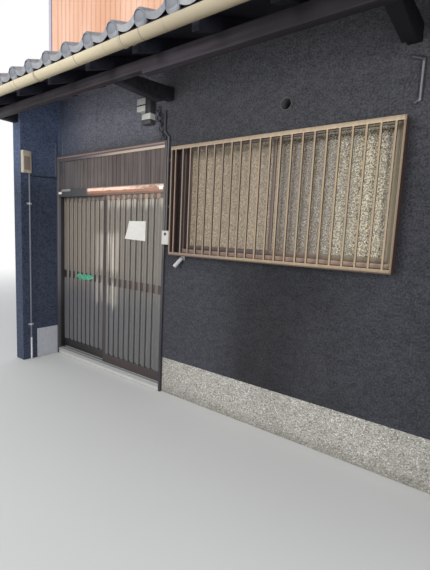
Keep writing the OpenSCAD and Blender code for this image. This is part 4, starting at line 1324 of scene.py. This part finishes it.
def clipBundle():
    p = bundle
    bm = bmesh.new()
    (x0, z0), (x1, z1) = p["from"], p["to"]
    off, apart, swing = p["off"]
    for k, (shift, sway, phase) in enumerate(p["cables"]):
        path = []
        for t in [i / p["steps"] for i in range(p["steps"] + 1)]:
            angle = phase + 2 * math.pi * p["turns"] * t
            path.append(Vector((x0 + (x1 - x0) * t + shift + sway * math.sin(angle) * (1 - p["settle"] * t),
                                faceY - off - apart * k - swing * math.cos(angle), z0 + (z1 - z0) * t)))
        rings = []
        for before, spot, after in zip([path[0], *path], path, [*path[1:], path[-1]]):
            along = (after - before).normalized()
            side = along.cross(Vector((0, 1, 0))).normalized()
            up = side.cross(along)
            rings.append([spot + a * side + b * up for a, b in circle(p["radius"], 8)])
        loft(bm, rings)
    keep("cableBundle", meshFrom(bm, "cableBundle", plainPlastic("cableSkin", p["colour"])))


pinPaper()
stickTape()
fitKnobs()
fitClamps()
fitStrips()
clipBundle()


print("stage: camera, lamps and floor")

view = {
    "at": (1.90, -5.30, 1.47),
    "yaw": 36.40,  # to the left of straight at the front wall
    "pitch": 7.165,  # below level
    "roll": 2.711,
    "lens": 24.0,  # on a 36 mm long side
}


def aimedCamera():
    yaw, pitch, roll = (math.radians(view[k]) for k in ("yaw", "pitch", "roll"))
    lens = bpy.data.cameras.new("camera")
    lens.lens = view["lens"]
    lens.sensor_width = 36.0
    eye = linked("camera", lens)
    eye.matrix_world = (Matrix.Translation(view["at"]) @ Matrix.Rotation(yaw, 4, "Z")
                        @ Matrix.Rotation(math.pi / 2 - pitch, 4, "X") @ Matrix.Rotation(roll, 4, "Z"))
    bpy.context.scene.camera = eye


lamps = {  # place, aim, size, watts
    "key": ((-2.0, -12.0, 3.0), (0.0, -2.8, 1.9), 5.0, 480),
    "fill": ((7.0, -8.5, 2.8), (-2.2, -2.8, 1.6), 4.0, 300),
}


def placeLamps():
    for name, (place, aim, size, watts) in lamps.items():
        light = bpy.data.lights.new(name, "AREA")
        light.shape = "DISK"
        light.size = size
        light.energy = watts
        aimed = (Vector(aim) - Vector(place)).to_track_quat("-Z", "Y").to_matrix().to_4x4()
        linked(name, light).matrix_world = Matrix.Translation(place) @ aimed


sky = {"colour": (0.92, 0.95, 1.0, 1), "strength": 0.75}


def paintWorld():
    world = bpy.data.worlds.new("studio")
    world.use_nodes = True
    bpy.context.scene.world = world
    tree = world.node_tree
    soft = tree.nodes["Background"]
    soft.inputs["Color"].default_value = sky["colour"]
    soft.inputs["Strength"].default_value = sky["strength"]
    rays = seenRays(Wire(tree))
    plain = rays.add("ShaderNodeBackground", {}, {"Color": (1, 1, 1, 1), "Strength": 1.0})
    shown = rays.add("ShaderNodeMixShader", {}, {0: rays, 1: Wire(tree, soft.outputs[0]), 2: plain})
    tree.links.new(shown.socket, tree.nodes["World Output"].inputs["Surface"])


ground = {
    "colours": ((0.70, 0.70, 0.68), (0.76, 0.76, 0.74)),
    "fade": (5.0, 13.0),  # from the middle, where it turns to plain white
    "halfSize": 60,
    "drop": 0.002,
}


def layFloor():
    p = ground
    f = Finish("paleFloor")
    f.set(Base_Color=mix(f.noise(0.6), *p["colours"]), Roughness=0.8)
    away = f.place.add("ShaderNodeVectorMath", {"operation": "LENGTH"}, {0: f.place}, "Value")
    glow = f.place.add("ShaderNodeEmission", {}, {"Color": (1, 1, 1, 1), "Strength": 1.0})
    blend = f.place.add("ShaderNodeMixShader", {}, {
        0: between(away, *p["fade"]) * seenRays(f.place), 1: Wire(f.tree, f.shader.outputs[0]), 2: glow})
    f.tree.links.new(blend.socket, f.tree.nodes["Material Output"].inputs["Surface"])
    bm = bmesh.new()
    bmesh.ops.create_grid(bm, x_segments=1, y_segments=1, size=p["halfSize"],
                          matrix=Matrix.Translation((0, 0, -p["drop"])))
    linked("floor", meshFrom(bm, "floor", f.material))


aimedCamera()
placeLamps()
paintWorld()
layFloor()
bpy.context.scene.view_settings.view_transform = "Standard"

bpy.context.view_layer.update()
print("stage: done")
